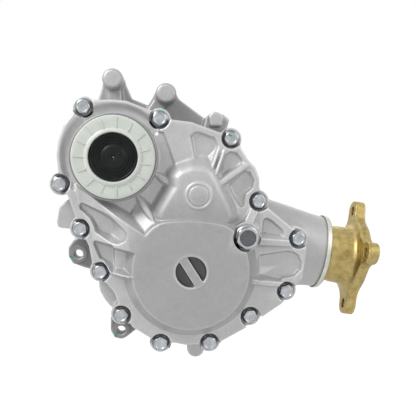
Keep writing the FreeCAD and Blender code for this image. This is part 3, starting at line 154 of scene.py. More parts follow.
# A solid as a field of distances on a grid: below zero is inside
class Casting:
    def __init__(self, low, high, voxel):
        self.low = np.array(low, float)
        self.voxel = voxel
        size = np.ceil((np.array(high) - self.low) / voxel).astype(int) + 1
        self.axes = [self.low[k] + voxel * np.arange(size[k]) for k in range(3)]
        self.values = np.full(tuple(size), 50, np.float32)

    def mix(self, low, high, distance, blend, remove=False):
        margin = blend + 3 * self.voxel
        cut = tuple(slice(int(np.searchsorted(axis, low[k] - margin)), int(np.searchsorted(axis, high[k] + margin)))
                    for k, axis in enumerate(self.axes))
        old = self.values[cut]
        if old.size == 0:
            return
        x, y, z = np.ix_(*[axis[part] for axis, part in zip(self.axes, cut)])
        new = distance(x, y, z)
        if remove:
            new = -new
        gap = np.maximum(blend - np.abs(old - new), 0) / blend if blend else 0
        if remove:
            self.values[cut] = np.maximum(old, new) + gap * gap * blend * 0.25
        else:
            self.values[cut] = np.minimum(old, new) - gap * gap * blend * 0.25

    # A plane shape drawn out along Y between two planes, with a rounded edge and sloping sides.
    # The sides widen away from the face at y_face.
    def slab(self, shape, y0, y1, blend=0, edge=1, slope=0, y_face=None, remove=False, box=None):
        middle, half = (y0 + y1) / 2, (y1 - y0) / 2
        face = y0 if y_face is None else y_face

        def distance(x, y, z):
            return rounded_edge(shape(x, z) - slope * (y - face), np.abs(y - middle) - half, edge)

        if box is None:
            box = self.low[0], self.low[2], self.axes[0][-1], self.axes[2][-1]
        spread = abs(slope) * (y1 - y0) + 1
        low = (box[0] - spread, y0, box[1] - spread)
        high = (box[2] + spread, y1, box[3] + spread)
        self.mix(low, high, distance, blend, remove)

    def post(self, centre, radius, y0, y1, **options):
        self.slab(circle(centre, radius), y0, y1, box=around(centre, radius), **options)

    def bore(self, centre, radius, y0, y1, **options):
        self.post(centre, radius, y0, y1, edge=0, remove=True, **options)

    def bar(self, start, end, width, y0, y1, **options):
        box = (min(start[0], end[0]) - width, min(start[1], end[1]) - width,
               max(start[0], end[0]) + width, max(start[1], end[1]) + width)
        self.slab(capsule(start, end, width), y0, y1, box=box, **options)

    def plate(self, points, y0, y1, **options):
        xs, zs = [p[0] for p in points], [p[1] for p in points]
        self.slab(polygon(points), y0, y1, box=(min(xs), min(zs), max(xs), max(zs)), **options)

    def mesh(self, name, faces):
        points, quads = surface_nets(self.values, self.low, self.voxel)
        data = bpy.data.meshes.new(name)
        data.vertices.add(len(points))
        data.vertices.foreach_set("co", (points * MM).ravel())
        data.loops.add(quads.size)
        data.loops.foreach_set("vertex_index", quads.ravel())
        data.polygons.add(len(quads))
        data.polygons.foreach_set("loop_start", np.arange(0, quads.size, 4))
        data.update(calc_edges=True)
        obj = new_object(name, data)
        if len(quads) * 2 > faces:
            thin = obj.modifiers.new("thin", "DECIMATE")
            thin.ratio = faces / (len(quads) * 2)
            apply_modifiers(obj)
        return smooth(obj)


# The zero surface of a field, one point in each cell that it crosses
def surface_nets(values, low, voxel):
    inside = values < 0
    shape = np.array(values.shape) - 1
    counts = np.zeros(shape, np.int8)
    corners = [(i, j, k) for i in (0, 1) for j in (0, 1) for k in (0, 1)]
    for i, j, k in corners:
        counts += inside[i:i + shape[0], j:j + shape[1], k:k + shape[2]]
    active = np.argwhere((counts > 0) & (counts < 8))
    index = np.full(shape, -1, np.int32)
    index[tuple(active.T)] = np.arange(len(active))
    total = np.zeros((len(active), 3))
    crossed = np.zeros(len(active))
    for corner in corners:
        for axis in range(3):
            if corner[axis]:
                continue
            a = active + corner
            b = a.copy()
            b[:, axis] += 1
            va, vb = values[tuple(a.T)].astype(float), values[tuple(b.T)].astype(float)
            hit = (va < 0) != (vb < 0)
            part = np.where(hit, va / np.where(hit, va - vb, 1), 0)
            where = a.astype(float)
            where[:, axis] += part
            total[hit] += where[hit]
            crossed[hit] += 1
    points = low + voxel * total / crossed[:, None]
    quads = []
    for axis in range(3):
        u, v = (axis + 1) % 3, (axis + 2) % 3
        before, after = np.delete(inside, -1, axis), np.delete(inside, 0, axis)
        for cells, flip in ((before & ~after, False), (~before & after, True)):
            edge = np.argwhere(cells)
            keep = (edge[:, u] > 0) & (edge[:, v] > 0) & (edge[:, u] < shape[u]) & (edge[:, v] < shape[v])
            edge = edge[keep]
            ring = []
            for du, dv in ((0, 0), (-1, 0), (-1, -1), (0, -1)):
                cell = edge.copy()
                cell[:, u] += du
                cell[:, v] += dv
                ring.append(index[tuple(cell.T)])
            ring = np.stack(ring, 1)
            quads.append(ring[:, ::-1] if flip else ring)
    return points, np.concatenate(quads).astype(np.int32)


# Objects
SHARP_ANGLE = 32


def new_object(name, data):
    obj = bpy.data.objects.new(name, data)
    bpy.context.scene.collection.objects.link(obj)
    return obj


def apply_modifiers(obj):
    graph = bpy.context.evaluated_depsgraph_get()
    data = bpy.data.meshes.new_from_object(obj.evaluated_get(graph))
    obj.modifiers.clear()
    obj.data = data


def smooth(obj, angle=None):
    obj.data.polygons.foreach_set("use_smooth", [True] * len(obj.data.polygons))
    if angle is not None:
        obj.data.set_sharp_from_angle(angle=math.radians(angle))
    return obj


def soft_max(a, b, k):
    gap = np.maximum(k - np.abs(a - b), 0)
    return np.maximum(a, b) + gap * gap / (4 * k)


def soft_min(a, b, k):
    return -soft_max(-a, -b, k)


def blended(shapes, k):
    def distance(x, z):
        total = shapes[0](x, z)
        for shape in shapes[1:]:
            total = soft_min(total, shape(x, z), k)
        return total
    return distance


# The cover's front as heights forward of the mounting face, in millimetres
class Relief:
    def __init__(self, x, z, level):
        self.x, self.z = x[:, None], z[None, :]
        self.height = np.full((len(x), len(z)), level, float)

    @staticmethod
    def away(distance, edge):
        rounded = (distance + edge) ** 2 / (4 * edge)
        return np.where(distance > edge, distance, np.where(distance < -edge, 0, rounded))

    def up(self, shape, top, steep, blend, edge):
        self.height = soft_max(self.height, top - steep * self.away(shape(self.x, self.z), edge), blend)

    def down(self, shape, floor, steep, blend, edge):
        self.height = soft_min(self.height, floor + steep * self.away(shape(self.x, self.z), edge), blend)

    def ridge(self, start, end, width, top_start, top_end, steep, blend, edge):
        dx, dz = end[0] - start[0], end[1] - start[1]
        share = ((self.x - start[0]) * dx + (self.z - start[1]) * dz) / (dx * dx + dz * dz)
        top = top_start + (top_end - top_start) * np.clip(share, 0, 1)
        self.up(capsule(start, end, width), top, steep, blend, edge)

    # Ridge that is widest halfway and runs out to a point at both ends
    def leaf(self, start, end, half, top_start, top_end, steep, blend=1.5, edge=0.9):
        dx, dz = end[0] - start[0], end[1] - start[1]
        length = math.hypot(dx, dz)
        along = ((self.x - start[0]) * dx + (self.z - start[1]) * dz) / length
        across = ((self.z - start[1]) * dx - (self.x - start[0]) * dz) / length
        share = np.clip(along / length, 0, 1)
        past = along - share * length
        top = top_start + (top_end - top_start) * share
        self.up(lambda x, z: np.hypot(past, across) - half * 4 * share * (1 - share), top, steep, blend, edge)


COVER_VOXEL = 0.85
LUG_R, POCKET_R = 10.8, 10
DISC_R, DISC_FOOT_R = 57, 66
CAP_R = 42.5
FLANGE_LINE = blended([polygon(OUTLINE)] + [circle(b[:2], LUG_R) for b in BOLTS], 3)

SKIN = 92
# Low skin between the cap, the top screws, the dome and the face left of the disc
SKIN_EDGE = (
    (34.8, 27.5), (47.5, 23.5), (52.7, 9.3), (58.6, -8.7), (70, -25), (56, -52), (45, -64), (30.5, -75), (-38, -28),
    (0, 0),
)
# Face that runs from the disc out to the left rim, and the ramp that rises from the skin to its end
WING = (
    (-38.4, -28), (-20.9, -39.8), (-3.4, -52.7), (15.1, -65.4), (30.2, -75.8), (43.6, -65.5), (60, -100), (20, -118),
    (-4, -112), (-20, -86), (-36, -44),
)
RAMP = ((12, -63), (22.5, -42), (31, -47), (36, -60), (45, -67.5), (31, -78))
RAMP_START, RAMP_WAY, RAMP_PITCH = (17, -51), (0.66, -0.75), 0.68
# Bell-shaped dome: the edge of its nearly flat face
DOME_FACE = (
    (58.5, -18.9), (63.9, -13.6), (75.7, -9.5), (88.6, -9.5), (95.1, -14.7), (100.5, -24.3), (105.9, -36.2),
    (112.5, -49.3), (115.8, -58), (112.5, -67), (46.5, -66), (41.2, -57.6), (44.4, -51.1), (50.9, -40.4),
    (58.5, -28.6),
)
DOME_TOP = 110.6
DISC_TOP_CENTRE, DISC_TOP_R = (70, -212.2), 150.4
KIDNEY_R = 46.6
KIDNEY_WIDTH = 6.4
POCKET_LONG = (
    (-36.3, -42.6), (-12.4, -55.6), (8.5, -69.9), (11.5, -74.1), (9.5, -80.1), (4, -81.6), (-18, -72),
    (-19.7, -66.1), (-24, -59), (-33.8, -50.8),
)
POCKET_STEPPED = (
    (-21.3, -82.8), (-1.8, -89.4), (19.2, -95.9), (17.1, -111.8), (-1.2, -110.2), (-4.5, -105.9), (-15.6, -99.5),
    (-20.9, -86.3),
)
POCKETS_TOP = (
    ((79.6, -2.1), (75, 20.3), (78, 24.1), (82.9, 24.9), (98.4, 19.3), (101.7, 12.7), (101, 7.3), (94.5, 0.7),
     (92, -7.1)),
    ((109.5, 1.8), (113.9, 5.6), (120.6, 4.5), (126.2, -2.6), (125.1, -7), (110.6, -18.1), (105.1, -14.8)),
    ((128.5, -13.7), (134.1, -14.8), (138, -22.6), (136.4, -30.4), (129.7, -35.9), (128.6, -42.6), (127, -52.7),
     (123.6, -48.2), (117.4, -37), (112.9, -28.1)),
)
POCKETS_RIGHT = (
    ((148.5, -59), (157, -63.5), (168, -73), (169.4, -79), (165.2, -83), (149, -89),
     (147, -75)),
    ((143, -98.5), (173, -94.5), (179, -95.6), (184.5, -98.8), (187.8, -106.4), (186.8, -114),
     (180.5, -120.3), (168.5, -122.3), (161.9, -129), (152, -128.4), (143, -121)),
)
# Ribs right of the disc: start, end, width and the height at each end
RIBS_RIGHT = (
    ((124, -81), (180, -87), 6.5, 112, 96),
    ((138, -124), (168, -129), 5, 104, 96.5),
    ((133, -64), (139, -52), 8.5, 101, 97),
)
POCKET_FLOOR = 90
# Foot of the disc at its right edge, and the small ribs on the foot
FOOT_STEP = ((143, -98), (149, -97), (149, -122), (143, -121))
FOOT_RIBS = (-147, -114, -77, -38)
COVER_FACES = 185000
PAD_R, PAD_GROOVE_R = 13.2, 10.3
SLOT_R, SLOT_FLOOR_Y, SLOT_BAR, SLOT_ANGLE = 15.2, -106.6, 8.7, 122
SEAL_BORE_R, SHAFT_BORE_R = 38, 32


def smooth_step(value, start, end):
    share = np.clip((value - start) / (end - start), 0, 1)
    return share * share * (3 - 2 * share)


def disc_face(x, z):
    return soft_max(circle(RING, DISC_R)(x, z), circle(DISC_TOP_CENTRE, DISC_TOP_R)(x, z), 3)


def cover_heights(x, z):
    relief = Relief(x, z, -RIM_Y)
    relief.down(polygon(SKIN_EDGE), SKIN, 2, 1.5, 1)
    kidney = [polar(KIDNEY_R, angle) for angle in range(34, 216, 6)]
    paths = [capsule(a, b, KIDNEY_WIDTH) for a, b in zip(kidney, kidney[1:])]
    relief.down(union(paths), 90, 1.6, 2, 1.5)
    # Face left of the disc, and the ramp up to its end
    relief.up(polygon(WING), 95.6 + 17.4 * smooth_step(relief.x, -34, 15), 2.6, 1, 0.8)
    run = (relief.x - RAMP_START[0]) * RAMP_WAY[0] + (relief.z - RAMP_START[1]) * RAMP_WAY[1]
    relief.up(polygon(RAMP), np.clip(SKIN + RAMP_PITCH * run, 80, 111), 2.4, 4, 1)
    # Pockets; the long one's floor rises at its right end, and the one below it has a shelf
    long_floor = 90.5 + 14 * smooth_step(relief.x, -6, 12)
    relief.down(grown(soft_polygon(POCKET_LONG, 2.5), -0.6), long_floor, 3.5, 1.2, 1)
    step_floor = POCKET_FLOOR + 8 * smooth_step(relief.x, -2.6, -0.4)
    relief.down(grown(soft_polygon(POCKET_STEPPED, 1.5), -0.6), step_floor, 3.5, 1.2, 1)
    for shape in POCKETS_TOP:
        relief.down(grown(soft_polygon(shape, 2.5), -1), POCKET_FLOOR + 0.8, 2.2, 2, 1.5)
    for shape in POCKETS_RIGHT:
        relief.down(grown(soft_polygon(shape, 3.5), -1), POCKET_FLOOR, 3.2, 1.5, 1.2)
    for start, end, width, top_start, top_end in RIBS_RIGHT:
        relief.ridge(start, end, width, top_start, top_end, 3, 2, 1)
    # Dome, whose sides fall to the skin
    fall = ((relief.x - IDLER[0]) / 60) ** 2 + ((relief.z - IDLER[1]) / 90) ** 2
    relief.up(soft_polygon(DOME_FACE, 6), DOME_TOP - 3 * fall, 1.9, 4, 5)
    # Thin ribs from the rim to the dome, two of them side by side under the top right screw
    for start, end, top_end in (((108.2, 7), (99.5, -15.5), 104.5), ((102.8, 8.8), (95.3, -10.5), 103.5)):
        relief.ridge(start, end, 2, 96.2, top_end, 3.2, 1.4, 0.8)
    relief.ridge((130.5, -7.5), (105, -24.5), 4.4, 97, 105, 3.2, 1.6, 0.9)
    # Two leaf-shaped gussets that stand on the low skin
    relief.leaf((38.5, -14.8), (59.5, -29), 2.3, 96, 101, 2.2)
    relief.leaf((21, -36.5), (39.5, -64.5), 2.2, 96, 108, 2.2)
    # Disc over the ring gear, with a sloping foot
    relief.up(disc_face, -DISC_Y, 1.7, 1, 0.6)
    relief.down(polygon(FOOT_STEP), 97, 2.6, 1.2, 0.8)
    for angle in FOOT_RIBS:
        near, far = polar(DISC_R + 1.5, angle, RING), polar(DISC_FOOT_R + 1, angle, RING)
        relief.ridge(near, far, 1.3, 106, 96, 2.4, 1.2, 0.7)
    return relief.height


def cover_casting():
    cover = Casting((-70, -115.5, -204), (201, -76.5, 65), COVER_VOXEL)
    x, y, z = cover.axes
    height = cover_heights(x, z)
    gx, gz = np.gradient(height, COVER_VOXEL)
    front = (-y[None, :, None] - height[:, None, :]) / np.sqrt(1 + gx * gx + gz * gz)[:, None, :]
    wall = FLANGE_LINE(x[:, None, None], z[None, None, :]) - 0.03 * (y[None, :, None] - RIM_Y)
    solid = soft_max(front, wall, 2.4)
    cover.values[:] = np.maximum(solid, y[None, :, None] - COVER_BACK_Y)
    cover.post(INPUT, CAP_R, BOSS_Y, -90, blend=2, edge=1.4, slope=0.02)
    cover.post(PLUG, 14.5, -103, -90, blend=2.5, edge=0.8, slope=0.06)
    cover.post(PLUG, 14.2, DISC_Y - 2, -103, edge=0.4, remove=True)
    # Round pad on the dome, with its groove
    cover.post(IDLER, PAD_R, -111.9, -100, blend=1.5, edge=0.7, slope=0.12)
    cover.slab(ring_band(IDLER, PAD_GROOVE_R, 0.8), -113, -110.9, blend=0.5, edge=0.4, remove=True,
               box=around(IDLER, 14))
    # Round recess in the disc, crossed by a bar
    cover.slab(ring_band(RING, 16.6, 0.9), DISC_Y - 0.5, -110, blend=1, edge=0.4, box=around(RING, 20))
    bar = capsule(polar(20, SLOT_ANGLE - 180, RING), polar(20, SLOT_ANGLE, RING), SLOT_BAR)

    def half_moons(x, z):
        return soft_max(circle(RING, SLOT_R)(x, z), -bar(x, z), 1.6)

    cover.slab(half_moons, DISC_Y - 2, SLOT_FLOOR_Y, blend=0.6, edge=1.6, slope=-0.05, remove=True,
               box=around(RING, 18))
    for x, z, way in BOLTS:
        out = polar(2.4 * POCKET_R, way, (x, z))
        pocket = blended([circle((x, z), POCKET_R), capsule((x, z), out, 2 * POCKET_R - 1)], 1.5)
        cover.slab(pocket, -125, SEAT_Y, blend=1, edge=0.7, remove=True, box=around((x, z), 36))
        cover.bore((x, z), 4.4, SEAT_Y - 2, COVER_BACK_Y + 2)
    # Inside: the gear room and the bores
    cover.slab(without(ROOM, circle(INPUT, CAP_R)), CEILING_Y, COVER_BACK_Y + 3, blend=1, edge=0, remove=True)
    cover.slab(without(circle(RING, 52), circle(RING, 36)), -106, CEILING_Y + 2,
               blend=1, edge=0, slope=0.3, remove=True, box=(0, -190, 150, -30))
    for centre, radius, y0, y1 in (
            (INPUT, 40, -101.3, -76), (INPUT, SEAL_BORE_R, -112, -101.6), (INPUT, SHAFT_BORE_R, -112, -95),
            (IDLER, 12, -107, -100), (RING, 30, -103.8, -76), (PLUG, 9, -104, -76)):
        cover.bore(centre, radius, y0, y1)
    cover.bore(IDLER, 17, -102.3, -86, slope=1)
    return cover.mesh("front_cover_casting", COVER_FACES)


# Main housing
HOUSING_VOXEL = 1.1
HOUSING_FACES = 185000
OUTPUT_ORIGIN = Vector((FOOT[0], PINION_Y, FOOT[1]))
OUTPUT_ALONG = Vector((math.cos(OUTPUT_TILT), 0, -math.sin(OUTPUT_TILT)))
OUTPUT_UP = Vector((math.sin(OUTPUT_TILT), 0, math.cos(OUTPUT_TILT)))
TUBE_END, TUBE_R = 144, 39.5
# Output tube: station along it, half height and half depth
TUBE_SECTIONS = ((-12, 34, 24), (10, 51, 38), (30, 56, 41), (60, 51.5, 41),
                 (100, 45.5, 40.5), (130, 40.5, 39.5), (TUBE_END, TUBE_R, TUBE_R))
TUBE_BORES = ((28.5, 28, 54), (33, 40, 70.8), (27, 60, 112), (30, 108, 146))
BOSSES = ((-8, 86.6), (50.1, 71.4))
EARS = (
    ((-40.1, -98.6), ((-43.9, -82.4), (-50.4, -91.8), (-50.6, -100.6), (-46.3, -108.2), (-34.6, -112.9),
                      (-14, -118), (-20, -80))),
    ((2.4, -179.1), ((-8.4, -165), (-8.6, -179.3), (-4.3, -187.2), (3.3, -188.6), (9.5, -185.5),
                     (30, -170), (14, -150))),
)
LUG_3 = ((92.8, 44.5), (100.5, 49), (111.6, 46.8), (118.2, 41.4), (112, 20), (88, 25))
LUG_3_TAB = ((95, 44), (99.5, 49), (106.5, 47.5), (110.5, 43), (108, 34), (97, 34))
VENT = (112, -20)
LEFT_LUG_STEP = ((-44, -38), (-58.8, -49.7), (-61, -61), (-44, -53))
LEFT_LUG = ((-44, -38), (-58.8, -49.7), (-61.9, -65.3), (-61, -70.3), (-57.4, -71.8), (-30, -74))
BOTTOM_LUG = (80.2, -200.5)
SIDE_WEB = ((-14, -120), (-20.5, -128.7), (-19.3, -137.8), (-14.5, -146.8), (-8.2, -154.8), (10, -150))
TAIL_PLATE = (
    (-27.7, 60), (-20, 84), (-8, 96), (3, 88), (12, 67), (30, 60), (39, 76), (54, 80), (66, 66), (96, 44), (112, 38),
    (100, 10), (60, -30), (0, -56),
)


def along_output(x, y, z):
    dx, dy, dz = x - OUTPUT_ORIGIN.x, y - OUTPUT_ORIGIN.y, z - OUTPUT_ORIGIN.z
    station = dx * OUTPUT_ALONG.x + dz * OUTPUT_ALONG.z
    up = dx * OUTPUT_UP.x + dz * OUTPUT_UP.z
    return station, up, dy


def tube_distance(x, y, z):
    station, up, across = along_output(x, y, z)
    stations, half_heights, half_depths = zip(*TUBE_SECTIONS)
    tall, deep = np.interp(station, stations, half_heights), np.interp(station, stations, half_depths)
    ring = np.sqrt((up / tall) ** 2 + (across / deep) ** 2)
    side = (ring - 1) * np.minimum(tall, deep)
    ends = np.maximum(station - TUBE_END, TUBE_SECTIONS[0][0] - station)
    return np.maximum(np.maximum(side, soft_max(side + 1.2, ends + 1.2, 1.2) - 1.2), -73 - y)


def bore_distance(radius, start, end):
    def distance(x, y, z):
        station, up, across = along_output(x, y, z)
        return np.maximum(np.hypot(up, across) - radius, np.maximum(start - station, station - end))
    return distance


# Ribs on the back that run from the input neck and the tube to the flange
BACK_RIBS = (((-20, -40), (-30, -80)), ((20, -50), (50, -90)), ((50, -10), (96, -18)),
             ((-50, 10), (-52, -20)), ((74, -150), (80, -186)), ((20, -130), (2, -150)),
             ((120, -40), (140, -44)))


def housing_casting():
    body = Casting((-66, -77.5, -213), (236, 12, 101), HOUSING_VOXEL)
    everywhere = ((-70, -80, -215), (240, 14, 105))
    body.slab(FLANGE_LINE, HOUSING_FRONT_Y, FLANGE_BACK_Y, edge=0.8)
    for centre, radius, y0, y1, slope in ((INPUT, 53, -64, 0, -0.05), (IDLER, 50, -64, -49, -0.35),
                                          (RING, 70, -64, -42, -0.25), (RING, 29, -46, -26, -0.1)):
        body.post(centre, radius, y0, y1, slope=slope, y_face=y1, edge=2, blend=5)
    body.plate(CAVITY_LEFT, -64, -54, edge=2, blend=4)
    body.plate(TAIL_PLATE, -14, 0, edge=2, blend=3)
    for centre in BOSSES:
        body.post(centre, 11.4, -32, 0, edge=4.2, blend=2.5)
        foot = polar(52, math.degrees(math.atan2(centre[1], centre[0])))
        body.bar(centre, foot, 15, -24, 0, edge=2, blend=4)
    body.plate(LUG_3, -50, 0, edge=2, blend=3)
    body.plate(LUG_3_TAB, -62, -30, edge=1.6, blend=1.5)
    body.post(BOTTOM_LUG, 8.5, HOUSING_FRONT_Y + 2, FLANGE_BACK_Y, edge=1.2, blend=2)
    body.bar(BOTTOM_LUG, (80.2, -184), 17, HOUSING_FRONT_Y + 2, FLANGE_BACK_Y, edge=1.2, blend=2)
    body.plate(LEFT_LUG, HOUSING_FRONT_Y + 3.4, FLANGE_BACK_Y, edge=1.2, blend=2)
    body.plate(LEFT_LUG_STEP, HOUSING_FRONT_Y + 6, FLANGE_BACK_Y + 8, edge=1.2, blend=1)
    body.plate(SIDE_WEB, HOUSING_FRONT_Y + 4, FLANGE_BACK_Y, edge=1.5, blend=3)
    for hole, shape in EARS:
        body.plate(shape, -74, -60, edge=1.5, blend=3)
        body.post(hole, 9, -74.6, -60, edge=0.8, blend=1.5)
    for x, z, way in BOLTS:
        body.post((x, z), 8, -64, -53, edge=1.5, blend=2.5, slope=-0.05, y_face=-53)
    body.mix(*everywhere, tube_distance, 6)
    for start, end in BACK_RIBS:
        body.bar(start, end, 6, -64, -44, edge=1.5, blend=3)
    body.post(VENT, 9, -64, -48.5, edge=1, blend=2.5)
    # Pilot that enters the transaxle, with the groove for its O-ring
    body.post(INPUT, 47, -4, 6, edge=0.6)
    body.slab(ring_band(INPUT, 46.5, 2), 2, 4.6, edge=0, remove=True, box=around(INPUT, 50))
    # Gear room and bores
    body.slab(ROOM, -80, -68, edge=0, blend=1, remove=True)
    body.bore(RING, 70, -70, -48, blend=1)
    body.post(IDLER, 16.5, -71.5, -64, edge=0.4)
    for centre, radius, y0, y1 in (
            (IDLER, 12, -80, -58), (INPUT, 40, -70, -54.7), (RING, 22, -49, -34.2),
            (INPUT, 34, -56, -16), (INPUT, 43, -50, -20), (INPUT, 36, -14, 9),
            (INPUT, 30, -20, -10), (VENT, 4, -70, -40)):
        body.bore(centre, radius, y0, y1)
    for radius, start, end in TUBE_BORES:
        body.mix(*everywhere, bore_distance(radius, start, end), 0, True)
    for x, z, way in BOLTS:
        body.bore((x, z), 4, -80, -56)
    for hole, shape in EARS:
        body.bore(hole, 4.5, -80, -50, blend=0.8)
    for centre in BOSSES:
        body.bore(centre, 5.1, -24, 4)
    return body.mesh("main_housing_casting", HOUSING_FACES)


# A mesh of rings of points, each joined to the next; either the last joins the first, or caps close the ends
def from_rings(name, rings, closed):
    steps, count = len(rings[0]), len(rings)
    faces = []
    for i in range(count if closed else count - 1):
        a, b = i * steps, ((i + 1) % count) * steps
        faces += [(a + k, a + (k + 1) % steps, b + (k + 1) % steps, b + k) for k in range(steps)]
    if not closed:
        faces.append(tuple(range(steps - 1, -1, -1)))
        faces.append(tuple((count - 1) * steps + k for k in range(steps)))
    data = bpy.data.meshes.new(name)
    data.from_pydata([p * MM for ring in rings for p in ring], [], faces)
    obj = new_object(name, data)
    mesh = bmesh.new()
    mesh.from_mesh(data)
    bmesh.ops.recalc_face_normals(mesh, faces=mesh.faces)
    mesh.to_mesh(data)
    mesh.free()
    return smooth(obj, SHARP_ANGLE)


# Turned shape: a closed profile of (station, radius) points swept about an axis
def lathe(name, profile, steps, place):
    turns = [2 * math.pi * k / steps for k in range(steps)]
    rings = [[place @ Vector((r * math.cos(a), r * math.sin(a), s)) for a in turns] for s, r in profile]
    return from_rings(name, rings, True)


def rounded(points, radius, steps=4):
    out = []
    for k, p in enumerate(points):
        a, b, c = Vector(points[k - 1]), Vector(p), Vector(points[(k + 1) % len(points)])
        reach = min(radius, (a - b).length * 0.45, (c - b).length * 0.45)
        start, end = b + (a - b).normalized() * reach, b + (c - b).normalized() * reach
        for step in range(steps + 1):
            t = step / steps
            out.append(tuple(start * (1 - t) ** 2 + b * 2 * t * (1 - t) + end * t * t))
    return out


def forward_place(centre, y):
    turn = Matrix(((1, 0, 0), (0, 0, -1), (0, 1, 0))).to_4x4()
    return Matrix.Translation((centre[0], y, centre[1])) @ turn


def output_place():
    axes = Matrix((OUTPUT_UP, Vector((0, -1, 0)), OUTPUT_ALONG)).transposed().to_4x4()
    return Matrix.Translation(OUTPUT_ORIGIN) @ axes


def joined(name, objects, sharp_angle=SHARP_ANGLE):
    mesh = bmesh.new()
    for obj in objects:
        mesh.from_mesh(obj.data)
        bpy.data.objects.remove(obj)
    return smooth(from_bmesh(name, mesh), sharp_angle)


# Hex head: stations run forward from the seat; the corners are chamfered by a cone, and the top is dished
def hex_head(name, place, across, start, end, dish_r, dish, turn, grid=9):
    reach = across / 2 / math.cos(math.pi / 6)
    turn = math.radians(turn)
    angles = [2 * math.pi * k / (6 * grid) + turn for k in range(6 * grid)]
    rings = []
    for level, shrink in ((start, 0), (start + 0.45 * (end - start), 0), (end - 1.6, 0), (end - 1, 0),
                          (end - 0.55, 0.5), (end - 0.2, 1), (end, 1.6)):
        ring = []
        for angle in angles:
            flat = across / 2 / math.cos((angle - turn) % (math.pi / 3) - math.pi / 6)
            radius = min(flat, reach - 0.25 - shrink * 0.9, flat - 0.12 * shrink)
            ring.append(place @ Vector((radius * math.cos(angle), radius * math.sin(angle), level)))
        rings.append(ring)
    top_r = min(dish_r + 1.2, across / 2 - 0.6)
    for radius, level in ((top_r, end), (dish_r + 0.3, end), (dish_r - 0.2, end - dish), (dish_r * 0.6, end - dish),
                          (dish_r * 0.25, end - dish)):
        rings.append([place @ Vector((radius * math.cos(a), radius * math.sin(a), level)) for a in angles])
    return from_rings(name, rings, False)


def cover_screws():
    parts = []
    for k, (x, z, way) in enumerate(BOLTS):
        place = forward_place((x, z), SEAT_Y)
        parts.append(hex_head("screw_head", place, 12.8, 1, 8, 4.9, 0.4, 17 * k))
        skirt = [(0, 3.9), (0, 8.5), (0.35, 8.8), (1.1, 8.75), (1.5, 8.2), (2.2, 7), (2.6, 6.2), (2.6, 3.9)]
        parts.append(lathe("screw_skirt", skirt, 48, place))
        shank = [(0.5, 0.2), (0.5, 3.9), (-29.2, 3.9), (-30, 3.2), (-30, 0.2)]
        parts.append(lathe("screw_shank", shank, 32, place))
    return joined("cover_screws", parts)


def filler_plug():
    place = forward_place(PLUG, -104.6)
    head = hex_head("plug_head", place, 20, 2.4, 10, 7.8, 1.6, 20, 12)
    flange = [(0, 4), (0, 11.7), (0.3, 12), (1.5, 12), (2, 11.6), (2.8, 10.6), (2.8, 4)]
    thread = [(0.5, 0.3), (0.5, 8.8), (-15, 8.8), (-16, 8), (-16, 0.3)]
    parts = [head, lathe("plug_flange", flange, 64, place), lathe("plug_thread", thread, 48, place)]
    return joined("filler_plug", parts)


GUARD_RIBS = 15


def cap_guard():
    place = forward_place(INPUT, 0)
    face = [(108.5, 23.7), (111.6, 23.7), (112.9, 24.2), (113, 25.2), (112.7, 26.2), (112.3, 27.2), (111.3, 28),
            (111.3, 30), (111.4, 32), (111.5, 34), (111.5, 36), (111.5, 38), (111.2, 39.4), (110.5, 40.1),
            (109.3, 40.3), (109.2, 37.8), (108.5, 37.8)]
    body = lathe("guard_body", face, 180, place)
    parts = [body]
    for k in range(GUARD_RIBS):
        spin = Matrix.Rotation(2 * math.pi * k / GUARD_RIBS + 0.2, 4, "Z")
        parts.append(wedge("guard_rib", place @ spin, 27.6, 36.5 + 1.5 * (k % 2), 1.5, 111, 112.1, 111.8))
    return joined("guard_ring_moulding", parts)


def from_bmesh(name, mesh):
    data = bpy.data.meshes.new(name)
    mesh.to_mesh(data)
    mesh.free()
    return new_object(name, data)


# Low bar that runs outwards from one radius to another, with a bevelled top
def wedge(name, place, r0, r1, width, low, high0, high1):
    mesh = bmesh.new()
    half = width / 2
    points = [(r0, -half, low), (r1, -half, low), (r1, half, low), (r0, half, low),
              (r0, -half, high0), (r1, -half, high1), (r1, half, high1), (r0, half, high0)]
    verts = [mesh.verts.new(place @ Vector(p) * MM) for p in points]
    for f in ((0, 3, 2, 1), (4, 5, 6, 7), (0, 1, 5, 4), (1, 2, 6, 5), (2, 3, 7, 6), (3, 0, 4, 7)):
        mesh.faces.new([verts[i] for i in f])
    bmesh.ops.bevel(mesh, geom=list(mesh.edges), offset=min(0.35, width / 4) * MM, segments=2, affect="EDGES",
                    profile=0.5)
    return from_bmesh(name, mesh)


def bore_plug():
    place = forward_place(INPUT, 0)
    outline = [(90, 12), (90, 17), (91, 18.4), (108.4, 18.4), (108.4, 23.4), (109.2, 23.3), (111, 23.3),
               (111.5, 22.9), (111.5, 22.3), (110.7, 21.8)]
    for r in (19.6, 17, 14.4):
        outline += [(110, r + 1), (110, r + 0.6), (110.7, r + 0.2), (110.7, r - 0.4), (110, r - 0.9)]
    outline += [(109.8, 12.2), (110.6, 11), (111, 10.4), (111, 3), (110.9, 2.6), (110.2, 1.9), (109.6, 1.6),
                (109, 0.4), (107, 0.4), (107, 12)]
    parts = [lathe("plug_body", outline, 120, place)]
    for angle in (28, 208):
        dot = polar(6.8, angle)
        parts.append(lathe("plug_dot", [(110.6, 0.1), (110.6, 1.3), (111.4, 1.1), (111.7, 0.7), (111.8, 0.1)], 16,
                           forward_place(dot, 0)))
    return joined("bore_plug_moulding", parts)


# Output flange: four eared plate that flares out of a round neck
FLANGE_CLOCK = 13.5
FLANGE_VOXEL, FLANGE_FACES, FLANGE_SHARP_ANGLE = 0.8, 120000, 45
EAR_CIRCLE_R, EAR_R, EAR_HOLE_R, SPOT_FACE_R = 53, 11, 5.2, 9.6


